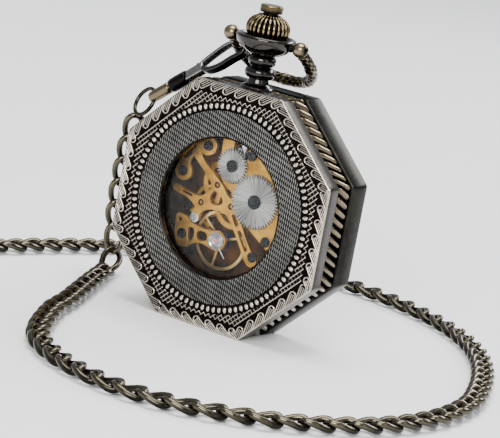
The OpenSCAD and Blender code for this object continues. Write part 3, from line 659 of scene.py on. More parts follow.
def cover_face(name, side, face_depth):
    """Two grids, ornament and guilloche, on polar rays that end on the octagon."""
    made = []
    for part, rays, rows, low, formula in (("border", 1512, 56, LINES_R, face_height),
                                           ("guilloche", 1300, 70, WINDOW_R + 0.25, guilloche_height)):
        theta = angles(rays)[None, :]
        outer = APOTHEM * octagon_radius(theta) if part == "border" else LINES_R + 0 * theta
        t = np.linspace(0, 1, rows)[:, None]
        r = low + (outer - low) * t
        x, h = r * np.cos(theta), r * np.sin(theta)
        height, tone = formula(x, h)
        if part == "guilloche":
            height = height - 0.12
        grid = from_case(x, h, side * (face_depth + height))
        made.append(grid_piece(f"{name}_{part}", grid, relief=tone, flip=side < 0))
    return made


# %% [markdown]
# Behind its face a cover is a pressed shell: a round window with a deep wall, a rounded inside and
# a flat rim. It is a profile carried round, whose radius blends from a circle to the octagon. The
# "relief" of a shell is high on its outer corners, which rub bright.

# %% Cover shells
def shell_of_rows(name, rows, side, count=720, flip=False):
    """rows are (radius, depth, octagon share, relief); the profile is carried round the axis."""
    theta = angles(count)[None, :]
    rows = np.array(rows, float)
    radius, depth, share, tone = (rows[:, k][:, None] for k in range(4))
    eight = octagon_radius(theta)
    r = radius * (share * eight + 1 - share)
    grid = from_case(r * np.cos(theta), r * np.sin(theta), side * depth + 0 * theta)
    run = np.concatenate([[0], np.cumsum(np.hypot(*np.diff(rows[:, :2], axis=0).T))])
    uv = np.stack(np.broadcast_arrays(theta * 8, run[:, None] * 0.2), -1)
    corner = np.clip((eight - 1.065) / 0.015, 0, 1) * share
    relief = np.clip(tone + 0.8 * corner, 0, 1)
    return grid_piece(name, grid, relief=relief, uv=uv, flip=flip)


def cover_shell(name, side, rim, face_depth):
    """The outside wall, rim and inside of one cover; its face is added on top."""
    top = face_depth - 0.6
    inner = face_depth - 1.2
    rows = [(APOTHEM, top + 0.28, 1, 0.9), (APOTHEM, top, 1, 0.4), (APOTHEM, rim + 0.15, 1, 0.3),
            (APOTHEM - 0.12, rim, 1, 0.5), (APOTHEM - 1.4, rim, 1, 0.3), (APOTHEM - 1.5, rim + 0.1, 1, 0.2),
            (APOTHEM - 1.5, inner - 0.3, 1, 0.2), (APOTHEM - 1.8, inner, 1, 0.2), (15.4, inner, 0, 0.2),
            (15.2, inner - 0.1, 0, 0.2), (15.2, inner - 0.75, 0, 0.3), (14.2, inner - 0.75, 0, 0.3),
            (14.15, inner - 0.05, 0, 0.1), (WINDOW_R, inner - 0.05, 0, 0.2),
            (WINDOW_R, face_depth - 0.3, 0, 0.2), (WINDOW_R + 0.06, face_depth - 0.14, 0, 0.9),
            (WINDOW_R + 0.25, face_depth - 0.12, 0, 1)]
    return shell_of_rows(name, rows, side, flip=side > 0)


def refined(node, name, bevel):
    """A copy of a CAD node with its doubles merged, flats joined and edges softened."""
    copy = bpy.data.objects.new(name, frame["nodes"][node].data.copy())
    bpy.context.scene.collection.objects.link(copy)
    work = bmesh.new()
    work.from_mesh(copy.data)
    bmesh.ops.remove_doubles(work, verts=work.verts, dist=1e-7)
    bmesh.ops.dissolve_limit(work, angle_limit=math.radians(1), verts=work.verts, edges=work.edges)
    bmesh.ops.recalc_face_normals(work, faces=work.faces)
    work.to_mesh(copy.data)
    work.free()
    copy.data.attributes.new("relief", "FLOAT", "POINT")
    copy.data.attributes["relief"].data.foreach_set("value", np.full(len(copy.data.vertices), 0.5))
    copy.data.polygons.foreach_set("use_smooth", np.full(len(copy.data.polygons), False))
    if bevel:
        soften = copy.modifiers.new("soften", "BEVEL")
        soften.width = bevel * MM
        soften.segments = 2
        soften.limit_method = "ANGLE"
        soften.angle_limit = math.radians(40)
        soften.harden_normals = False
    return copy


def hinge_barrel(name, depth, low, high):
    """One barrel of a hinge, from low to high along the hinge line."""
    a = angles(32)[None, :]
    x = np.array([low, low, low + 0.15, high - 0.15, high, high])[:, None]
    r = np.array([0.45, 0.8, 0.9, 0.9, 0.8, 0.45])[:, None]
    grid = from_case(x + 0 * a, HINGE_H + r * np.sin(a), depth + r * np.cos(a))
    return grid_piece(name, grid, relief=np.full(grid.shape[:2], 0.5), close_rows=True)


for name, side, rim, shell_metal, hinge_d in (
        ("back_cover", 1, 3.6, cover_bronze, BACK_HINGE_D),
        ("front_cover", -1, 1.75, gunmetal, FRONT_HINGE_D)):
    shell = cover_shell(f"{name}_shell", side, rim, HALF_T)
    slot_name = COVER_SLOTS[name]
    dress(shell, shell_metal, name, slot_name, name)
    border, lines = cover_face(name, side, HALF_T)
    dress(border, engraved_bronze, name, slot_name)
    dress(lines, guilloche_bronze, name, slot_name)
    dress(hinge_barrel(f"{name}_knuckle", hinge_d, -3, 3), cover_bronze, name, slot_name)
    print(name, "border", len(border.data.polygons), "guilloche", len(lines.data.polygons))

# %% [markdown]
# The edge where face and side meet is rubbed bright all round both covers. It is a thin strip that
# follows the octagon, just over the corner.

# %% Bright edges
for name, side in (("back_cover", 1), ("front_cover", -1)):
    rows = [(APOTHEM - 0.26, HALF_T - 0.02, 1, 1), (APOTHEM - 0.1, HALF_T - 0.12, 1, 1),
            (APOTHEM - 0.02, HALF_T - 0.22, 1, 1), (APOTHEM - 0.02, HALF_T - 0.36, 1, 0.8)]
    strip = shell_of_rows(f"{name}_edge", rows, side, flip=side > 0)
    strip.data.materials.append(edge_bronze)
    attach(strip, name)
    print(name, "edge", len(strip.data.polygons))

# %% [markdown]
# ## The roped band
# Between the covers the middle of the case is cast as a rope: slanted strands, ten to a side,
# swelling out to the covers' line. It is a height over (way round, depth): a swelling across the
# band times the shape of one strand. Beside the hinges the band is cut back to two round grooves,
# which give the rims of the covers room when they swing open.

# %% Band
STRANDS_A_SIDE = 10
BAND_LOW, BAND_TOP = -1.6, 3.45
BAND_R, BAND_SWELL, BAND_MAX = 22.15, 1.3, 23.42
GROOVE_R, GROOVE_HALF = 1.3, 9.75  # round each hinge line, and to either side of the middle


def clear_of_hinges(x, h, d):
    """The bottom side is cut back to a round groove, so that an opened cover's rim has room."""
    for hinge_d in (BACK_HINGE_D, FRONT_HINGE_D):
        reach = GROOVE_R ** 2 - (d - hinge_d) ** 2
        groove = HINGE_H + np.sqrt(np.maximum(reach, 0))
        cut = (reach > 0) & (np.abs(x) < GROOVE_HALF) & (h < -19)
        h = np.where(cut, np.maximum(h, groove), h)
    return h


def rope_band():
    """The strand's phase runs on with the way across the band, so every strand lies aslant."""
    count, rows = 1920, 40
    theta = angles(count)[None, :]
    d = np.linspace(BAND_LOW, BAND_TOP, rows)[:, None]
    across = (d - (BAND_LOW + BAND_TOP) / 2) / ((BAND_TOP - BAND_LOW) / 2)
    eight = octagon_radius(theta)
    turn_by = np.round(theta / (np.pi / 4))
    along = np.tan(theta - turn_by * np.pi / 4) / math.tan(math.pi / 8) * 0.5 + turn_by
    phase = (along * STRANDS_A_SIDE - 0.62 * across) % 1 - 0.5
    strand = np.clip(1 - (phase / 0.47) ** 2, 0, 1) ** 0.7
    swell = np.clip(1 - np.abs(across) ** 4, 0, 1) ** 0.5
    out = BAND_R + BAND_SWELL * swell * strand
    r = np.minimum(out, BAND_MAX) * eight
    x, h = r * np.cos(theta), r * np.sin(theta)
    grid = from_case(x, clear_of_hinges(x, h, d + 0 * x), d + 0 * theta)
    relief = np.clip(strand * (0.35 + 0.65 * swell), 0, 1)
    return grid_piece("rope_band", grid, relief=relief)


def case_inside():
    """The ring behind the rope: its two flats and its round bore, with the same grooves."""
    rows = [(BAND_R, BAND_LOW, 1, 0.2), (18.3, BAND_LOW, 0, 0.2), (18.2, BAND_LOW + 0.1, 0, 0.2),
            (18.2, BAND_TOP - 0.1, 0, 0.3), (18.3, BAND_TOP, 0, 0.5), (BAND_R, BAND_TOP, 1, 0.3)]
    piece = shell_of_rows("case_inside", rows, 1, flip=True)
    flat = np.zeros(len(piece.data.vertices) * 3)
    piece.data.vertices.foreach_get("co", flat)
    x, y, z = flat.reshape(-1, 3).T / MM
    h = clear_of_hinges(x, z - CASE_H, CASE_Y - y)
    piece.data.vertices.foreach_set("co", (np.stack([x, y, h + CASE_H], -1) * MM).ravel())
    piece.data.update()
    return piece


dress(rope_band(), rope_bronze, "root", "bronze_case", "case_band")
dress(case_inside(), cover_bronze, "root", "bronze_case")
for number, (depth, low, high) in enumerate((
        (BACK_HINGE_D, 3.1, 8.5), (BACK_HINGE_D, -8.5, -3.1),
        (FRONT_HINGE_D, 3.1, 8.5), (FRONT_HINGE_D, -8.5, -3.1))):
    dress(hinge_barrel(f"band_knuckle_{number}", depth, low, high), cover_bronze, "root",
          "bronze_case")
print("rope band:", 8 * STRANDS_A_SIDE, "strands, four knuckles")

# %% [markdown]
# ## Pendant, crown and bow
# The pendant is turned: two rings, a waist and a wide cup that the crown sits in. A lathe profile
# given as radius and height, rounded by sampling a smooth curve through it, makes it. The crown is
# the same with flutes: its radius dips as the angle goes round.

# %% Lathe
def lathe(name, profile, place_at, count=96, relief=None, radius_of=None, smooth_rows=6):
    """Turns a (radius, height) profile, resampled along a Catmull-Rom curve, about an axis."""
    profile = np.array([(r, z, 0) for r, z in profile], float)
    fine, _ = smooth_route(profile, smooth_rows * len(profile))
    theta = angles(count)[None, :]
    r, z = np.maximum(fine[:, 0], 0.0)[:, None], fine[:, 1][:, None]
    if radius_of is not None:
        r = radius_of(r, z, theta)
    grid = place_at(r * np.cos(theta), r * np.sin(theta), z + 0 * theta)
    tone = np.full(grid.shape[:2], 0.5) if relief is None else relief(r, z, theta)
    return grid_piece(name, grid, relief=tone)


def ring_profile(big, tube, h):
    """The outside of a bead: an arc of radius tube about (big, h)."""
    a = np.radians(np.linspace(-80, 80, 9))
    return [(big + tube * math.cos(v), h + tube * math.sin(v)) for v in a]


pendant_profile = ([(0.1, 22.72), (3.3, 22.72), (3.4, 23.1), (3.1, 23.7), (2.2, 24.3), (1.9, 25.2)]
                   + ring_profile(1.75, 1.2, 26.4) + [(1.75, 27.65)] + ring_profile(1.6, 1.15, 28.8)
                   + [(1.8, 29.9), (3.0, 30.05), (4.5, 30.8), (5.35, 31.7), (5.8, 32.8), (5.78, 33.3),
                      (5.45, 33.6), (5.05, 33.5), (4.7, 33.0), (4.5, 32.0), (2, 31.75), (1.1, 31.7)])
pendant = lathe("pendant_turned", pendant_profile, on_stem, relief=lambda r, z, t: np.clip(
    (r - 2.2) / 3.6, 0, 1) * 0.3 + 0.3 + 0 * t)
dress(pendant, polished_gunmetal, "root", "gunmetal_case", "pendant")

CROWN_FLUTES = 26
crown_profile = [(0.55, 32.62), (2.6, 32.6), (3.1, 32.8), (3.9, 33.7), (4.25, 34.7), (4.1, 35.8),
                 (3.4, 36.8), (2.5, 37.35), (2.15, 37.6), (1.6, 37.68)]


def fluted(r, z, theta):
    """The flutes are deepest at the crown's waist and die out at its ends."""
    depth = 0.5 * np.clip(1 - ((z - 35) / 2.7) ** 2, 0, 1) ** 0.5
    return r - depth * (0.5 - 0.5 * np.cos(CROWN_FLUTES * theta)) ** 1.6


def flute_tone(r, z, theta):
    """Bright on the crests between the flutes, dark inside them."""
    return (0.5 + 0.5 * np.cos(CROWN_FLUTES * theta)) ** 1.3 + 0 * z


crown = lathe("crown_fluted", crown_profile, on_stem, count=14 * CROWN_FLUTES, relief=flute_tone,
              radius_of=fluted)
dress(crown, crown_bronze, "crown", "aged_bronze", "crown")
button_profile = [(0.02, 37.2), (1.45, 37.2), (1.5, 37.9), (1.6, 38.05), (2.1, 38.07), (2.2, 38.2),
                  (2.2, 39.2), (2.1, 39.4), (1.9, 39.47), (1.0, 39.48), (0.02, 39.48)]
button = lathe("crown_button_turned", button_profile, on_stem, relief=lambda r, z, t: np.clip(
    (z - 37.5) / 2, 0, 1) * 0.75 + 0 * t)
dress(button, crown_bronze, "crown_button", "aged_bronze", "crown_button")
print("crown:", CROWN_FLUTES, "flutes")

# %% [markdown]
# The bow is a cast stirrup, knotted like a twig. Its wire follows the CAD bow's own points; the
# radius swells at knots and is wrapped by shallow veins. A ball at either end stands for its pin.

# %% Bow
BOW_LEAN = math.radians(38)
BOW_POINTS = np.array([[-7.9, -1.5, 0], [-8.2, -4.5, 0], [-7.4, -8.6, 0], [-4.6, -11.6, 0],
                       [0, -12.4, 0], [4.6, -11.6, 0], [7.4, -8.6, 0], [8.2, -4.5, 0],
                       [7.9, -1.5, 0]], float)
bow_flat, bow_length = smooth_route(BOW_POINTS, 240)
bow_line = on_stem(bow_flat[:, 0], -bow_flat[:, 1] * math.cos(BOW_LEAN),
                   PIVOT_H + bow_flat[:, 1] * math.sin(BOW_LEAN))
t = np.linspace(0, 1, 240)[:, None]
a = angles(28)[None, :]
knots = sum(0.12 * np.exp(-((t - k) / 0.022) ** 2) for k in (0.14, 0.3, 0.5, 0.7, 0.86))
veins = 0.055 * np.cos(3 * a + 70 * t) * np.cos(9 * a - 40 * t) + 0.04 * np.cos(5 * a + 160 * t)
bow_r = 1.08 + knots + veins
bow = sweep("bow_cast", bow_line, bow_r, 28, relief=np.clip(0.55 + 4.5 * veins + knots * 2, 0, 1))
dress(bow, worn_bronze, "bow", "gunmetal_case", "bow")


def ball_end(side):
    """A pear-shaped end: a neck at the cup, a round head outside, all turned about the X axis."""
    s = np.linspace(0, 1, 40)[:, None]
    x = 5.75 + 3.72 * s
    head = np.sqrt(np.clip(1 - ((s - 0.58) / 0.42) ** 2, 0, 1)) * 1.5
    neck = 0.85 * np.clip(1 - s * 1.6, 0, 1) + 0.12 * np.exp(-((s - 0.08) / 0.05) ** 2)
    r = np.maximum(np.maximum(head, neck), 0.01)
    a = angles(40)[None, :]
    grid = on_stem(side * x + 0 * a, r * np.cos(a), PIVOT_H + r * np.sin(a))
    return grid_piece(f"bow_ball_{'left' if side < 0 else 'right'}", grid, flip=side < 0,
                      relief=np.clip(head / 1.6, 0, 1) + 0 * a)


dress(ball_end(-1), worn_bronze, "bow", "aged_bronze", "bow_pins")
dress(ball_end(1), worn_bronze, "bow", "aged_bronze")
print("bow: a wire of", round(bow_length, 1), "mm")

# %% [markdown]
# ## The clasp
# A snap hook: a flat body whose end curls round the bow, a sprung lever that closes it, a swivel
# barrel and a ring. The hook, the body and the lever are flat bars bent along smooth lines; the
# swivel is turned and the ring is swept.

# %% Clasp
CLASP_START, RING_CENTRE = np.array([-8.2, 3.1, 29.4]), np.array([-29, 5, 13.6])
CLASP_ROLL = math.radians(31)
clasp_axis = unit(RING_CENTRE - CLASP_START)
clasp_long = np.linalg.norm(RING_CENTRE - CLASP_START)
level = unit(np.cross(UP, clasp_axis))
steep = np.cross(clasp_axis, level)
clasp_y = math.cos(CLASP_ROLL) * level + math.sin(CLASP_ROLL) * steep
clasp_z = np.cross(clasp_axis, clasp_y)


def in_clasp(x, y, z):
    """Clasp coordinates: x along it from the bow, y and z across it."""
    x, y, z = (np.asarray(v, float)[..., None] for v in np.broadcast_arrays(x, y, z))
    return CLASP_START + [0, CASE_Y, CASE_H] + x * clasp_axis + y * clasp_y + z * clasp_z


def turned_on_clasp(x, y, z):
    """Lathe coordinates, whose axis is z, laid along the clasp."""
    return in_clasp(z, x, y)


swivel_profile = [(0.02, 14.1), (1.1, 14.1), (1.45, 14.5), (1.45, 18.0), (1.2, 18.35), (0.85, 18.5),
                  (0.85, 18.8), (1.15, 19.0), (1.2, 19.6), (1.2, clasp_long - 3.6),
                  (1.1, clasp_long - 2.2), (0.9, clasp_long - 1.9), (0.02, clasp_long - 1.85)]
swivel = lathe("swivel_turned", swivel_profile, turned_on_clasp, count=48,
               relief=lambda r, z, t: np.clip((z - 18.4) * 2, 0, 1) * 0.7 + 0.1 + 0 * t)
dress(swivel, worn_bronze, "clasp_swivel", "bronze_case", "clasp_swivel")
ring_at = CLASP_START + [0, CASE_Y, CASE_H] + clasp_long * clasp_axis
jump_ring = sweep("jump_ring", ring_line(ring_at, 2.9, clasp_axis, clasp_z, 72), 0.42, 14, closed=True)
dress(jump_ring, chain_metal, "clasp_swivel", "bronze_case", "clasp_ring")


def clasp_strip(name, points, wide, thick, body, made, slot_name, node):
    """A flat bar: points in clasp coordinates (x, z), a rounded oblong carried along them."""
    points = np.array([(x, 0, z) for x, z in points], float)
    line, _ = smooth_route(points, 90)
    heading = unit(np.gradient(line, axis=0))
    normal = np.stack([-heading[:, 2], 0 * heading[:, 0], heading[:, 0]], 1)
    a = angles(24)[None, :]
    u = np.sign(np.cos(a)) * np.abs(np.cos(a)) ** 0.45 * thick / 2
    v = np.sign(np.sin(a)) * np.abs(np.sin(a)) ** 0.45 * wide / 2
    t = np.linspace(0, 1, 90)[:, None]
    taper = np.clip(np.minimum(t, 1 - t) / 0.02, 0.25, 1)
    local = line[:, None] + (u * taper)[..., None] * normal[:, None] + (v * taper)[..., None] * [0, 1, 0]
    grid = in_clasp(local[..., 0], local[..., 1], local[..., 2])
    piece = grid_piece(name, grid, relief=np.full(grid.shape[:2], 0.5), caps=True)
    return dress(piece, made, body, slot_name, node)


hook_end = [(2.35 * math.cos(v), 2.35 * math.sin(v)) for v in np.radians(np.linspace(60, 250, 9))]
clasp_strip("snap_hook", hook_end + [(1.5, -2.1), (5, -2.2), (8, -1.5), (9.6, -0.4), (10.4, 0)], 1.7,
            1.15, "clasp", polished_gunmetal, "gunmetal_case", "clasp_hook")
clasp_strip("snap_body", [(9.4, 0), (11, 0), (12.5, 0), (14.0, 0)], 1.75, 2.5, "clasp", clasp_metal,
            "gunmetal_case", None)
clasp_strip("snap_lever", [(1.75, 2.05), (4, 2.1), (7, 1.7), (9.3, 1.2), (10.6, 0.7)], 1.5, 0.8,
            "clasp_lever", clasp_metal, "bright_steel", "clasp_lever")
print("clasp:", round(float(clasp_long), 1), "mm from the bow to the middle of its ring")

# %% [markdown]
# ## The movement
# The plain plates and the wheels of the train keep their CAD shapes, which mesh and turn. Those
# listed first are copied with softened edges, which catch the light as polished bevels do; those
# listed second only get their material. The crystals and the dial are among them.

# %% Plates, wheels and screws
for node, made, bevel in (
        ("barrel_bridge", gilt, 0.1),
        ("pallet_cock", gilt, 0.04),
        ("click", steel, 0.04), ("click_spring", steel, 0.03), ("main_plate", copper_gilt, 0.1),
        ("regulator", steel, 0.04), ("movement_ring", dark_steel, 0.1), ("barrel", copper_gilt, 0),
        ("balance_wheel", pale_gilt, 0.06)):
    body = next(b for b, held in frame["record"]["behaviour"]["bodies"].items() if node in held)
    slot_name = next(s["material_slot"] for s in frame["record"]["subparts"] if s["node"] == node)
    dress(refined(node, f"{node}_fine", bevel), made, body, slot_name, node)

plain = {"centre_wheel": gilt, "third_wheel": gilt, "fourth_wheel": gilt, "minute_wheel": gilt,
         "hour_wheel": gilt, "escape_wheel": steel, "pallet_fork": steel, "cannon_pinion": steel,
         "barrel_arbor": steel, "winding_stem": steel, "winding_pinion": steel,
         "crown_square": steel, "lid_catch": steel, "clasp_pin": clasp_metal,
         "back_hinge_pin": worn_bronze, "front_hinge_pin": worn_bronze, "dial_bezel": worn_bronze,
         "train_jewels": dark_steel, "back_crystal": glass, "front_crystal": glass, "dial_crystal": glass,
         "dial": white_enamel}
for node, made in plain.items():
    piece = frame["nodes"][node]
    piece.data.materials.clear()
    piece.data.materials.append(made)
print("movement:", len(plain), "CAD parts are shown as they are")

# %% [markdown]
# The train bridge with its lobe and the balance cock are pierced plates. Each is drawn as a closed
# smooth outline with holes, filled as a flat curve, thickened and bevelled all round, and kept as a
# mesh.

# %% Pierced bridges
def smooth_loop(points, step=8):
    """A closed Catmull-Rom curve through the points, step samples to each."""
    points = np.array(points, float)
    t = np.arange(len(points) * step) / step
    i, u = t.astype(int), (t % 1)[:, None]
    p0, p1, p2, p3 = (points[(i + k) % len(points)] for k in (-1, 0, 1, 2))
    return catmull_rom(p0, p1, p2, p3, u)


def circle(x, h, r, count=32):
    """A round outline about (x, h)."""
    a = angles(count)
    return np.stack([x + r * np.cos(a), h + r * np.sin(a)], 1)


def slot_outline(a, b, r, count=12):
    """A long hole with round ends from a to b."""
    a, b = np.array(a, float), np.array(b, float)
    turn_by = math.atan2(*(b - a)[::-1])
    half = np.linspace(-np.pi / 2, np.pi / 2, count) + turn_by
    arc = r * np.stack([np.cos(half), np.sin(half)], 1)
    return np.concatenate([b + arc, a - arc])


def plate(name, outlines, low, high, bevel=0.09):
    """Nested closed outlines become a filled plate with holes, low to high in depth."""
    curve = bpy.data.curves.new(name, "CURVE")
    curve.dimensions = "2D"
    curve.fill_mode = "BOTH"
    curve.bevel_depth = bevel * MM
    curve.bevel_resolution = 2
    curve.offset = -bevel * MM
    curve.extrude = ((high - low) / 2 - bevel) * MM
    for outline in outlines:
        spline = curve.splines.new("POLY")
        spline.points.add(len(outline) - 1)
        flat = np.zeros((len(outline), 4))
        flat[:, :2] = outline * MM
        flat[:, 3] = 1
        spline.points.foreach_set("co", flat.ravel())
        spline.use_cyclic_u = True
    holder = bpy.data.objects.new(name, curve)
    mesh = bpy.data.meshes.new_from_object(holder)
    bpy.data.objects.remove(holder)
    bpy.data.curves.remove(curve)
    flat = np.zeros(len(mesh.vertices) * 3)
    mesh.vertices.foreach_get("co", flat)
    flat = flat.reshape(-1, 3) / MM
    placed = from_case(flat[:, 0], flat[:, 1], (low + high) / 2 + flat[:, 2]) * MM
    mesh.vertices.foreach_set("co", placed.ravel())
    mesh.update()
    piece = bpy.data.objects.new(name, mesh)
    bpy.context.scene.collection.objects.link(piece)
    return piece


PLATE_LOW, PLATE_TOP = 1.4, 2.3
BRIDGE = [(-10.6, 9.1), (-9.6, 9.3), (-8.0, 7.3), (-5.4, 5.5), (-2.8, 3.6), (-1.2, 1.9), (0.9, 0.9),
          (1.3, -0.6), (2.7, -2.4), (4.5, -5.0), (6.2, -7.2), (7.6, -8.4), (7.8, -9.5), (6.7, -10.3),
          (5.4, -9.7), (4.0, -7.8), (2.0, -4.9), (0.2, -2.8), (-1.4, -1.7), (-3.6, -1.6),
          (-5.4, -2.1), (-6.6, -3.0), (-6.9, -4.6), (-7.8, -5.2), (-8.7, -4.5), (-8.6, -3.2),
          (-8.4, -1.9), (-10.4, -0.8), (-13.4, -0.2), (-14.0, 0.5), (-13.4, 1.1), (-10.4, 0.6),
          (-7.8, 0.3), (-6.2, 1.1), (-5.3, 2.8), (-6.3, 4.2), (-8.8, 6.2), (-10.9, 8.0)]
TEARDROP = [(-4.4, 1.9), (-3.5, 1.9), (-2.3, 0.9), (-2.2, 0.0), (-3.2, -0.5), (-4.7, -0.4),
            (-5.1, 0.6)]
train_plate = plate("train_bridge_plate", [
    smooth_loop(BRIDGE), smooth_loop(TEARDROP), slot_outline((1.0, -1.7), (1.9, -3.0), 0.42),
    slot_outline((2.9, -4.4), (4.9, -7.2), 0.4), circle(-3.9, 3.3, 0.55), circle(-6.9, -0.9, 0.55),
    circle(0, 0, 0.55), circle(-7.8, -4.2, 0.5), slot_outline((-11.6, 0.25), (-9.4, -0.1), 0.22)],
    PLATE_LOW, PLATE_TOP)
dress(train_plate, gilt, "root", "gilt_brass", "train_bridge")
LOBE = [(-13.9, 5.0), (-14.2, 3.6), (-13.2, 2.4), (-11.6, 2.3), (-10.4, 3.3), (-10.5, 4.8),
        (-11.2, 6.0), (-10.6, 7.6), (-9.2, 8.4), (-7.4, 8.3), (-5.9, 9.2), (-5.7, 10.9), (-7.0, 12.0),
        (-8.7, 11.8), (-11.2, 9.9), (-13.1, 7.4)]
lobe_plate = plate("train_bridge_lobe", [
    smooth_loop(LOBE), slot_outline((-12.3, 7.0), (-10.6, 9.0), 0.5)], PLATE_LOW, PLATE_TOP - 0.02)
dress(lobe_plate, gilt, "root", "gilt_brass")
COCK = [(-11.8, -4.3), (-9.8, -4.4), (-8.6, -5.2), (-6.4, -5.6), (-3.6, -5.7), (-1.6, -5.3),
        (-0.1, -6.3), (0.1, -7.9), (-1.2, -9.3), (-3.2, -9.1), (-4.8, -8.8), (-6.6, -9.1),
        (-8.4, -10.3), (-10.2, -10.4), (-11.4, -9.2), (-11.9, -7.0)]
cock_plate = plate("balance_cock_plate", [
    smooth_loop(COCK), smooth_loop([(-8.7, -6.5), (-7.4, -6.5), (-7.3, -8.3), (-8.3, -8.9)]),
    smooth_loop([(-6.4, -6.6), (-4.4, -6.6), (-4.3, -7.9), (-6.3, -8.1)]),
    circle(-11.0, -5.4, 0.45)], PLATE_LOW, PLATE_TOP)
dress(cock_plate, gilt, "root", "gilt_brass", "balance_cock")
for piece in (train_plate, lobe_plate, cock_plate):
    print(piece.name, len(piece.data.polygons))

# %% [markdown]
# The hairspring is a flat spiral: its radius grows evenly as the angle goes round. Turned pieces
# are a profile carried round a centre, and the first of them line the windows of both covers.

# %% Hairspring and linings
BALANCE_AT = (-1.9, -7.35)
SPRING_TURNS = 7
t = np.linspace(0, 1, 420)
spiral = 0.62 + 1.75 * t
a = 2 * np.pi * SPRING_TURNS * t
spring_line = from_case(BALANCE_AT[0] + spiral * np.cos(a), BALANCE_AT[1] + spiral * np.sin(a), 1.05)
dress(sweep("hairspring_coil", spring_line, 0.045, 6), blue_steel, "root", "blued_steel",
      "hairspring")


def disc_piece(name, at, rows, count=48, tone=0.6):
    """A turned piece on the case's axis or beside it: rows of (radius, depth) carried round."""
    a = angles(count)[None, :]
    r, d = (np.array(v, float)[:, None] for v in zip(*rows))
    grid = from_case(at[0] + r * np.cos(a), at[1] + r * np.sin(a), d + 0 * a)
    return grid_piece(name, grid, relief=np.full(grid.shape[:2], tone))


for name, side in (("back_cover", 1), ("front_cover", -1)):
    lining = [(WINDOW_R - 0.01, side * 6.72), (WINDOW_R - 0.1, side * 6.66),
              (WINDOW_R - 0.1, side * 5.8), (WINDOW_R - 0.01, side * 5.75)]
    dress(disc_piece(f"{name}_lining", (0, 0), lining, 240), dark_steel, name, "gunmetal_case")
print("hairspring:", SPRING_TURNS, "turns")

# %% [markdown]
# The two winding wheels have pointed teeth, bevelled rims and rayed faces. Their centres are those
# of the CAD wheels, but their teeth are not: here there are fifty-two and thirty-three, there
# fifty-six and thirty-six. The wheels turn at the CAD's ratio, so these teeth slip out of step as
# the stem turns, and graze each other in places.

# %% Winding wheels
WHEEL_LOW, WHEEL_TOP = 2.4, 2.8


def toothed_wheel(name, at, teeth, root_r, tip_r, low, high, hole):
    """A flat wheel with pointed teeth: its radius is a clipped triangle wave of the angle."""
    a = angles(teeth * 10)[None, :]
    wave = np.abs((a * teeth / (2 * np.pi)) % 1 - 0.5) * 2
    rim = root_r + (tip_r - root_r) * np.clip((wave - 0.22) / 0.62, 0, 1)
    rows = [(hole, low, 0), (0, low, 1), (0, high - 0.04, 1), (-0.05, high, 1), (-0.5, high, 0.9),
            (-1.0, high - 0.05, 0), (hole + 0.3, high - 0.05, 0), (hole, high - 0.05, 0)]
    radii = []
    for r, d, share in rows:
        inner = root_r + r if r <= 0 else r
        radii.append(share * (rim + min(r, 0)) + (1 - share) * inner + 0 * a)
    r = np.concatenate(radii)
    d = np.array([d for _, d, _ in rows])[:, None]
    grid = from_case(at[0] + r * np.cos(a), at[1] + r * np.sin(a), d + 0 * a)
    return grid_piece(name, grid, close_rows=True, relief=np.full(grid.shape[:2], 0.5), smooth=False)


ratchet = toothed_wheel("ratchet_teeth", RATCHET_AT, 52, 4.62, 5.38, WHEEL_LOW, WHEEL_TOP, 0.6)
dress(ratchet, ratchet_steel, "ratchet", "bright_steel", "ratchet_wheel")
crown_wheel = toothed_wheel("crown_wheel_teeth", CROWN_WHEEL_AT, 33, 2.8, 3.5, WHEEL_LOW, WHEEL_TOP,
                            0.6)
dress(crown_wheel, crown_wheel_steel, "crown_wheel", "bright_steel", "crown_wheel")
print("winding wheels: 52 and 33 teeth")

# %% [markdown]
# A screw head is a polished disc whose height dips along its slot. The last of the eight sits low,
# on the pallet cock; the others hold the bridges.

# %% Screws
COCK_TOP = 0.46
SCREWS = [(-12.2, 4.1), (-7.5, 10.2), (2.7, 10.7), (9.1, -4.6), (6.8, -8.2), (-9.9, -7.9),
          (12.6, 2.2), (-10.9, -2.6)]


def screw_head(name, at, radius, low, high, slot_turn):
    """A polished head with a bevelled edge; the slot is a dip where the way across is small."""
    a = angles(96)[None, :]
    t = np.array([1, 1, 0.9, 0.82, 0.74, 0.66, 0.58, 0.5, 0.42, 0.34, 0.26, 0.18, 0.1, 0.02])[:, None]
    top = np.array([low, high - 0.08, high] + [high] * 11)[:, None] + 0 * a
    r = radius * t + 0 * a
    x, h = r * np.cos(a), r * np.sin(a)
    across = np.abs(h * math.cos(slot_turn) - x * math.sin(slot_turn))
    dip = np.clip((0.17 * radius - across) / (0.04 * radius), 0, 1)
    top = np.where(top > low + 1e-6, top - 0.2 * dip, top)
    grid = from_case(at[0] + x, at[1] + h, top)
    return grid_piece(name, grid, relief=np.full(grid.shape[:2], 0.5))


for number, at in enumerate(SCREWS):
    low = COCK_TOP if number == len(SCREWS) - 1 else PLATE_TOP
    slot_turn = math.radians(20 + 47 * number)
    head = screw_head(f"bridge_screw_{number}", at, 1.0, low, low + 0.38, slot_turn)
    dress(head, black_steel, "root", "black_steel", "bridge_screws" if number == 0 else None)
head = screw_head("ratchet_screw_head", RATCHET_AT, 1.35, WHEEL_TOP, 3.15, 1.2)
dress(head, black_steel, "ratchet", "black_steel", "ratchet_screw")
head = screw_head("crown_screw_head", CROWN_WHEEL_AT, 1.2, WHEEL_TOP, 3.15, 0.4)
dress(head, black_steel, "root", "black_steel", "crown_wheel_screw")
print("screws:", len(SCREWS), "on the plates, one on each winding wheel")

# %% [markdown]
# The balance carries timing screws round its rim, and its jewel sits in a bright turned ring. The
# escape wheel's bearing has a smaller ring.

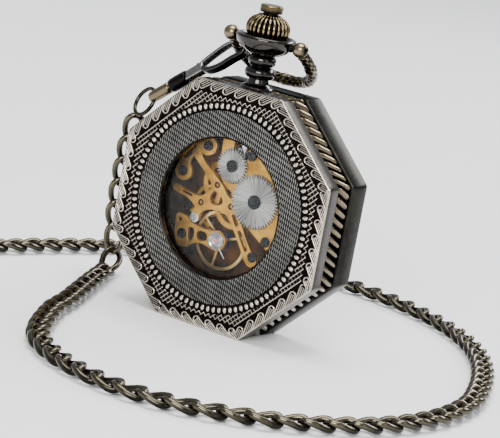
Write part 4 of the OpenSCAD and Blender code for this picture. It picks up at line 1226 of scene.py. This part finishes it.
# %% Timing screws and jewels
TIMING_SCREWS = 12
ESCAPE_AT = (-7.8, -4.2)
for number in range(TIMING_SCREWS):
    a = number * math.tau / TIMING_SCREWS + 0.26
    out = np.array([math.cos(a), math.sin(a)])
    line = [from_case(*(BALANCE_AT + out * r), 0.67) for r in (5.62, 5.68, 5.86, 5.9)]
    screw = sweep(f"timing_screw_{number}", np.array(line), 0.2, 12)
    dress(screw, gilt, "balance", "gilt_brass")
chaton = disc_piece("balance_chaton", BALANCE_AT, [(0.62, 2.28), (0.66, 2.42), (0.8, 2.5), (1.0, 2.44),
                                                   (1.15, 2.34), (1.3, 2.34), (1.4, 2.52), (1.6, 2.6),
                                                   (1.75, 2.52), (1.78, 2.3)])
dress(chaton, steel, "root", "ruby", "balance_jewel")
jewel = disc_piece("balance_ruby", BALANCE_AT, [(0.02, 2.36), (0.16, 2.38), (0.3, 2.46), (0.55, 2.45),
                                                (0.66, 2.36)])
dress(jewel, ruby, "root", "ruby")
chaton = disc_piece("escape_chaton", ESCAPE_AT, [(0.33, 2.32), (0.4, 2.42), (0.6, 2.42), (0.66, 2.36),
                                                 (0.85, 2.42), (1.0, 2.38), (1.02, 2.3)])
dress(chaton, steel, "root", "bright_steel")
print("balance:", TIMING_SCREWS, "timing screws")

# %% [markdown]
# ## The dial side
# The dial is enamel with printed numerals and minute marks. Every printed stroke is a thin flat bar
# laid on the dial, given by its four corners: so far out along the hour's ray, so far to its side.

# %% Dial print
PRINT_D, PRINT_THICK = -3.055, 0.03
NUMERAL_FOOT, NUMERAL_TALL = 10.6, 2.9


def on_dial(radial, side, clock):
    """Right and up on the case for a place along and beside the ray at a clockwise angle."""
    x = -(radial * np.sin(clock) + side * np.cos(clock))
    return x, radial * np.cos(clock) - side * np.sin(clock)


def printed_bars(name, radial, side, clock):
    """Thin four-cornered bars on the dial; the corners are the columns of radial and side."""
    x, h = on_dial(radial, side, clock)
    low, high = from_case(x, h, PRINT_D), from_case(x, h, PRINT_D - PRINT_THICK)
    points = np.concatenate([low, high], 1).reshape(-1, 3)
    faces = []
    for b in range(0, len(points), 8):
        faces += [[b, b + 1, b + 2, b + 3], [b + 7, b + 6, b + 5, b + 4]]
        faces += [[b + i, b + 4 + i, b + 4 + (i + 1) % 4, b + (i + 1) % 4] for i in range(4)]
    return finish_mesh(name, points, faces, smooth=False)


def flat_marks(name, specs):
    """Marks on the dial: each spec is (radius, half length, half width, clock angle)."""
    specs = np.array(specs, float)
    r, half, wide, clock = (specs[:, k][:, None] for k in range(4))
    u = np.array([-1, 1, 1, -1])[None, :]
    v = np.array([-1, -1, 1, 1])[None, :]
    return printed_bars(name, r + half * u, wide * v, clock)


minutes = [(14.9, 0.28, 0.09, k * math.pi / 30) for k in range(60)]
minutes += [(14.9, 0.4, 0.22, k * math.pi / 6) for k in range(12)]
dress(flat_marks("minute_track", minutes), black_ink, "root", "blued_steel")
ROMAN = ["XII", "I", "II", "III", "IV", "V", "VI", "VII", "VIII", "IX", "X", "XI"]
GLYPHS = {"I": [(0, 0, 0, 1)], "V": [(-0.5, 1, 0, 0), (0.5, 1, 0, 0)],
          "X": [(-0.5, 1, 0.5, 0), (0.5, 1, -0.5, 0)]}
WIDTHS = {"I": 0.55, "V": 1.1, "X": 1.2}


def numeral_strokes():
    """Each numeral as slanted strokes: (side and height of start and end, half width, hour)."""
    strokes = []
    for hour, text in enumerate(ROMAN):
        total = sum(WIDTHS[c] for c in text)
        pen = -total / 2
        for c in text:
            centre = pen + WIDTHS[c] / 2
            pen += WIDTHS[c]
            for x0, y0, x1, y1 in GLYPHS[c]:
                thin = 0.09 if (x0 > x1 or (c == "V" and x0 > 0)) else 0.17
                strokes.append((centre + x0 * 0.8, y0 * NUMERAL_TALL,
                                centre + x1 * 0.8, y1 * NUMERAL_TALL, thin, hour))
    return np.array(strokes)


def numerals(name):
    """All the strokes of the twelve numerals, standing on a circle with their tops outwards."""
    s = numeral_strokes()
    start, end = s[:, :2], s[:, 2:4]
    way = unit(end - start)
    across = np.stack([-way[:, 1], way[:, 0]], 1) * s[:, 4:5]
    corners = np.stack([start - across, end - across, end + across, start + across], 1)
    clock = (s[:, 5] * math.pi / 6)[:, None]
    return printed_bars(name, corners[..., 1] + NUMERAL_FOOT, corners[..., 0], clock)


dress(numerals("hour_numerals"), black_ink, "root", "blued_steel")
print("dial:", len(minutes), "marks and", len(numeral_strokes()), "strokes of numerals")

# %% [markdown]
# The hands are leaf shaped and slightly domed, of blued steel. A hand is a grid, way along by way
# across, and its boss is turned.

# %% Hands
def leaf_hand(name, long, wide, depth, hub, clock_hours):
    """A hand as a grid: way along by way across, its width a leaf formula, domed in the middle."""
    t = np.linspace(0, 1, 60)[:, None]
    v = np.linspace(-1, 1, 9)[None, :]
    width = 0.16 + wide * np.exp(-((t - 0.66) / 0.13) ** 2)
    width = width * np.clip((1 - t) / 0.3, 0, 1) ** 0.7
    x, h = on_dial(t * long + 0 * v, width * v, clock_hours * math.pi / 6)
    dome = depth - 0.09 * (1 - v ** 2) * np.clip(width / 0.3, 0, 1)
    top = grid_piece(name, from_case(x, h, dome), close_columns=False)
    thicken = top.modifiers.new("thicken", "SOLIDIFY")
    thicken.thickness = 0.06 * MM
    thicken.offset = 0
    boss = disc_piece(f"{name}_boss", (0, 0), [(hub, depth + 0.05), (hub, depth - 0.1),
                                               (hub * 0.8, depth - 0.16), (0.02, depth - 0.17)])
    return top, boss


for node, body, long, wide, depth, hub, clock in (
        ("hour_hand", "hour_hand", 7.6, 0.75, -3.2, 1.15, 10.14),
        ("minute_hand", "minute_hand", 11.6, 0.5, -3.52, 0.9, 1.7)):
    hand, boss = leaf_hand(f"{node}_leaf", long, wide, depth, hub, clock)
    dress(hand, blue_steel, body, "blued_steel", node)
    dress(boss, blue_steel, body, "blued_steel")
    print(node, long, "mm, at", clock, "hours")

# %% [markdown]
# The chain leaves the clasp's ring, lies loosely round the watch, and ends in a fitting made of
# the two small rings and the bar.

# %% [markdown]
# ## Floor and light
# A plain pale floor, a soft key from the front and the right, a weak fill further round, a strip
# behind and a broad lamp overhead. Polished metal shows what stands round it, so the lamps are large
# and the world is dim.

# %% Floor and lights
floor_mesh = bpy.data.meshes.new("floor")
floor_mesh.from_pydata([(-6, -6, 0), (6, -6, 0), (6, 6, 0), (-6, 6, 0)], [], [(0, 1, 2, 3)])
floor = bpy.data.objects.new("floor", floor_mesh)
floor.location.z = -0.00002
bpy.context.scene.collection.objects.link(floor)
pale, tree, shader = material("pale_floor")
shader.inputs["Base Color"].default_value = (0.9, 0.9, 0.9, 1)
shader.inputs["Roughness"].default_value = 0.7
floor.data.materials.append(pale)
floor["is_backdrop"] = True

world = bpy.data.worlds.new("studio")
bpy.context.scene.world = world
world.use_nodes = True
world.node_tree.nodes["Background"].inputs["Color"].default_value = (0.9, 0.95, 1, 1)
world.node_tree.nodes["Background"].inputs["Strength"].default_value = 0.6


def area_light(name, at, aim, size, power, colour=(1, 1, 1)):
    """A rectangular lamp at one place, turned to face another."""
    lamp = bpy.data.objects.new(name, bpy.data.lights.new(name, "AREA"))
    lamp.data.shape = "RECTANGLE"
    lamp.data.size, lamp.data.size_y = size
    lamp.data.energy = power
    lamp.data.color = colour
    lamp.location = at
    lamp.rotation_euler = (Vector(aim) - Vector(at)).to_track_quat("-Z", "Y").to_euler()
    bpy.context.scene.collection.objects.link(lamp)


area_light("key", (0.28, -0.74, 0.42), (0, 0, 0.02), (0.5, 0.35), 9)
area_light("fill", (0.75, -0.25, 0.35), (0, 0, 0.02), (0.25, 0.5), 0.8, (1, 0.97, 0.92))
area_light("rim", (0.2, 0.7, 0.5), (0, 0, 0.03), (0.7, 0.2), 5)
area_light("top", (0, 0, 1.1), (0, 0, 0), (0.8, 0.8), 16)
print("lamps: key, fill, rim and top")

# %% The size of what is shown
low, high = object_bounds()
print("visual box", [round(v, 4) for v in (*low, *high)])
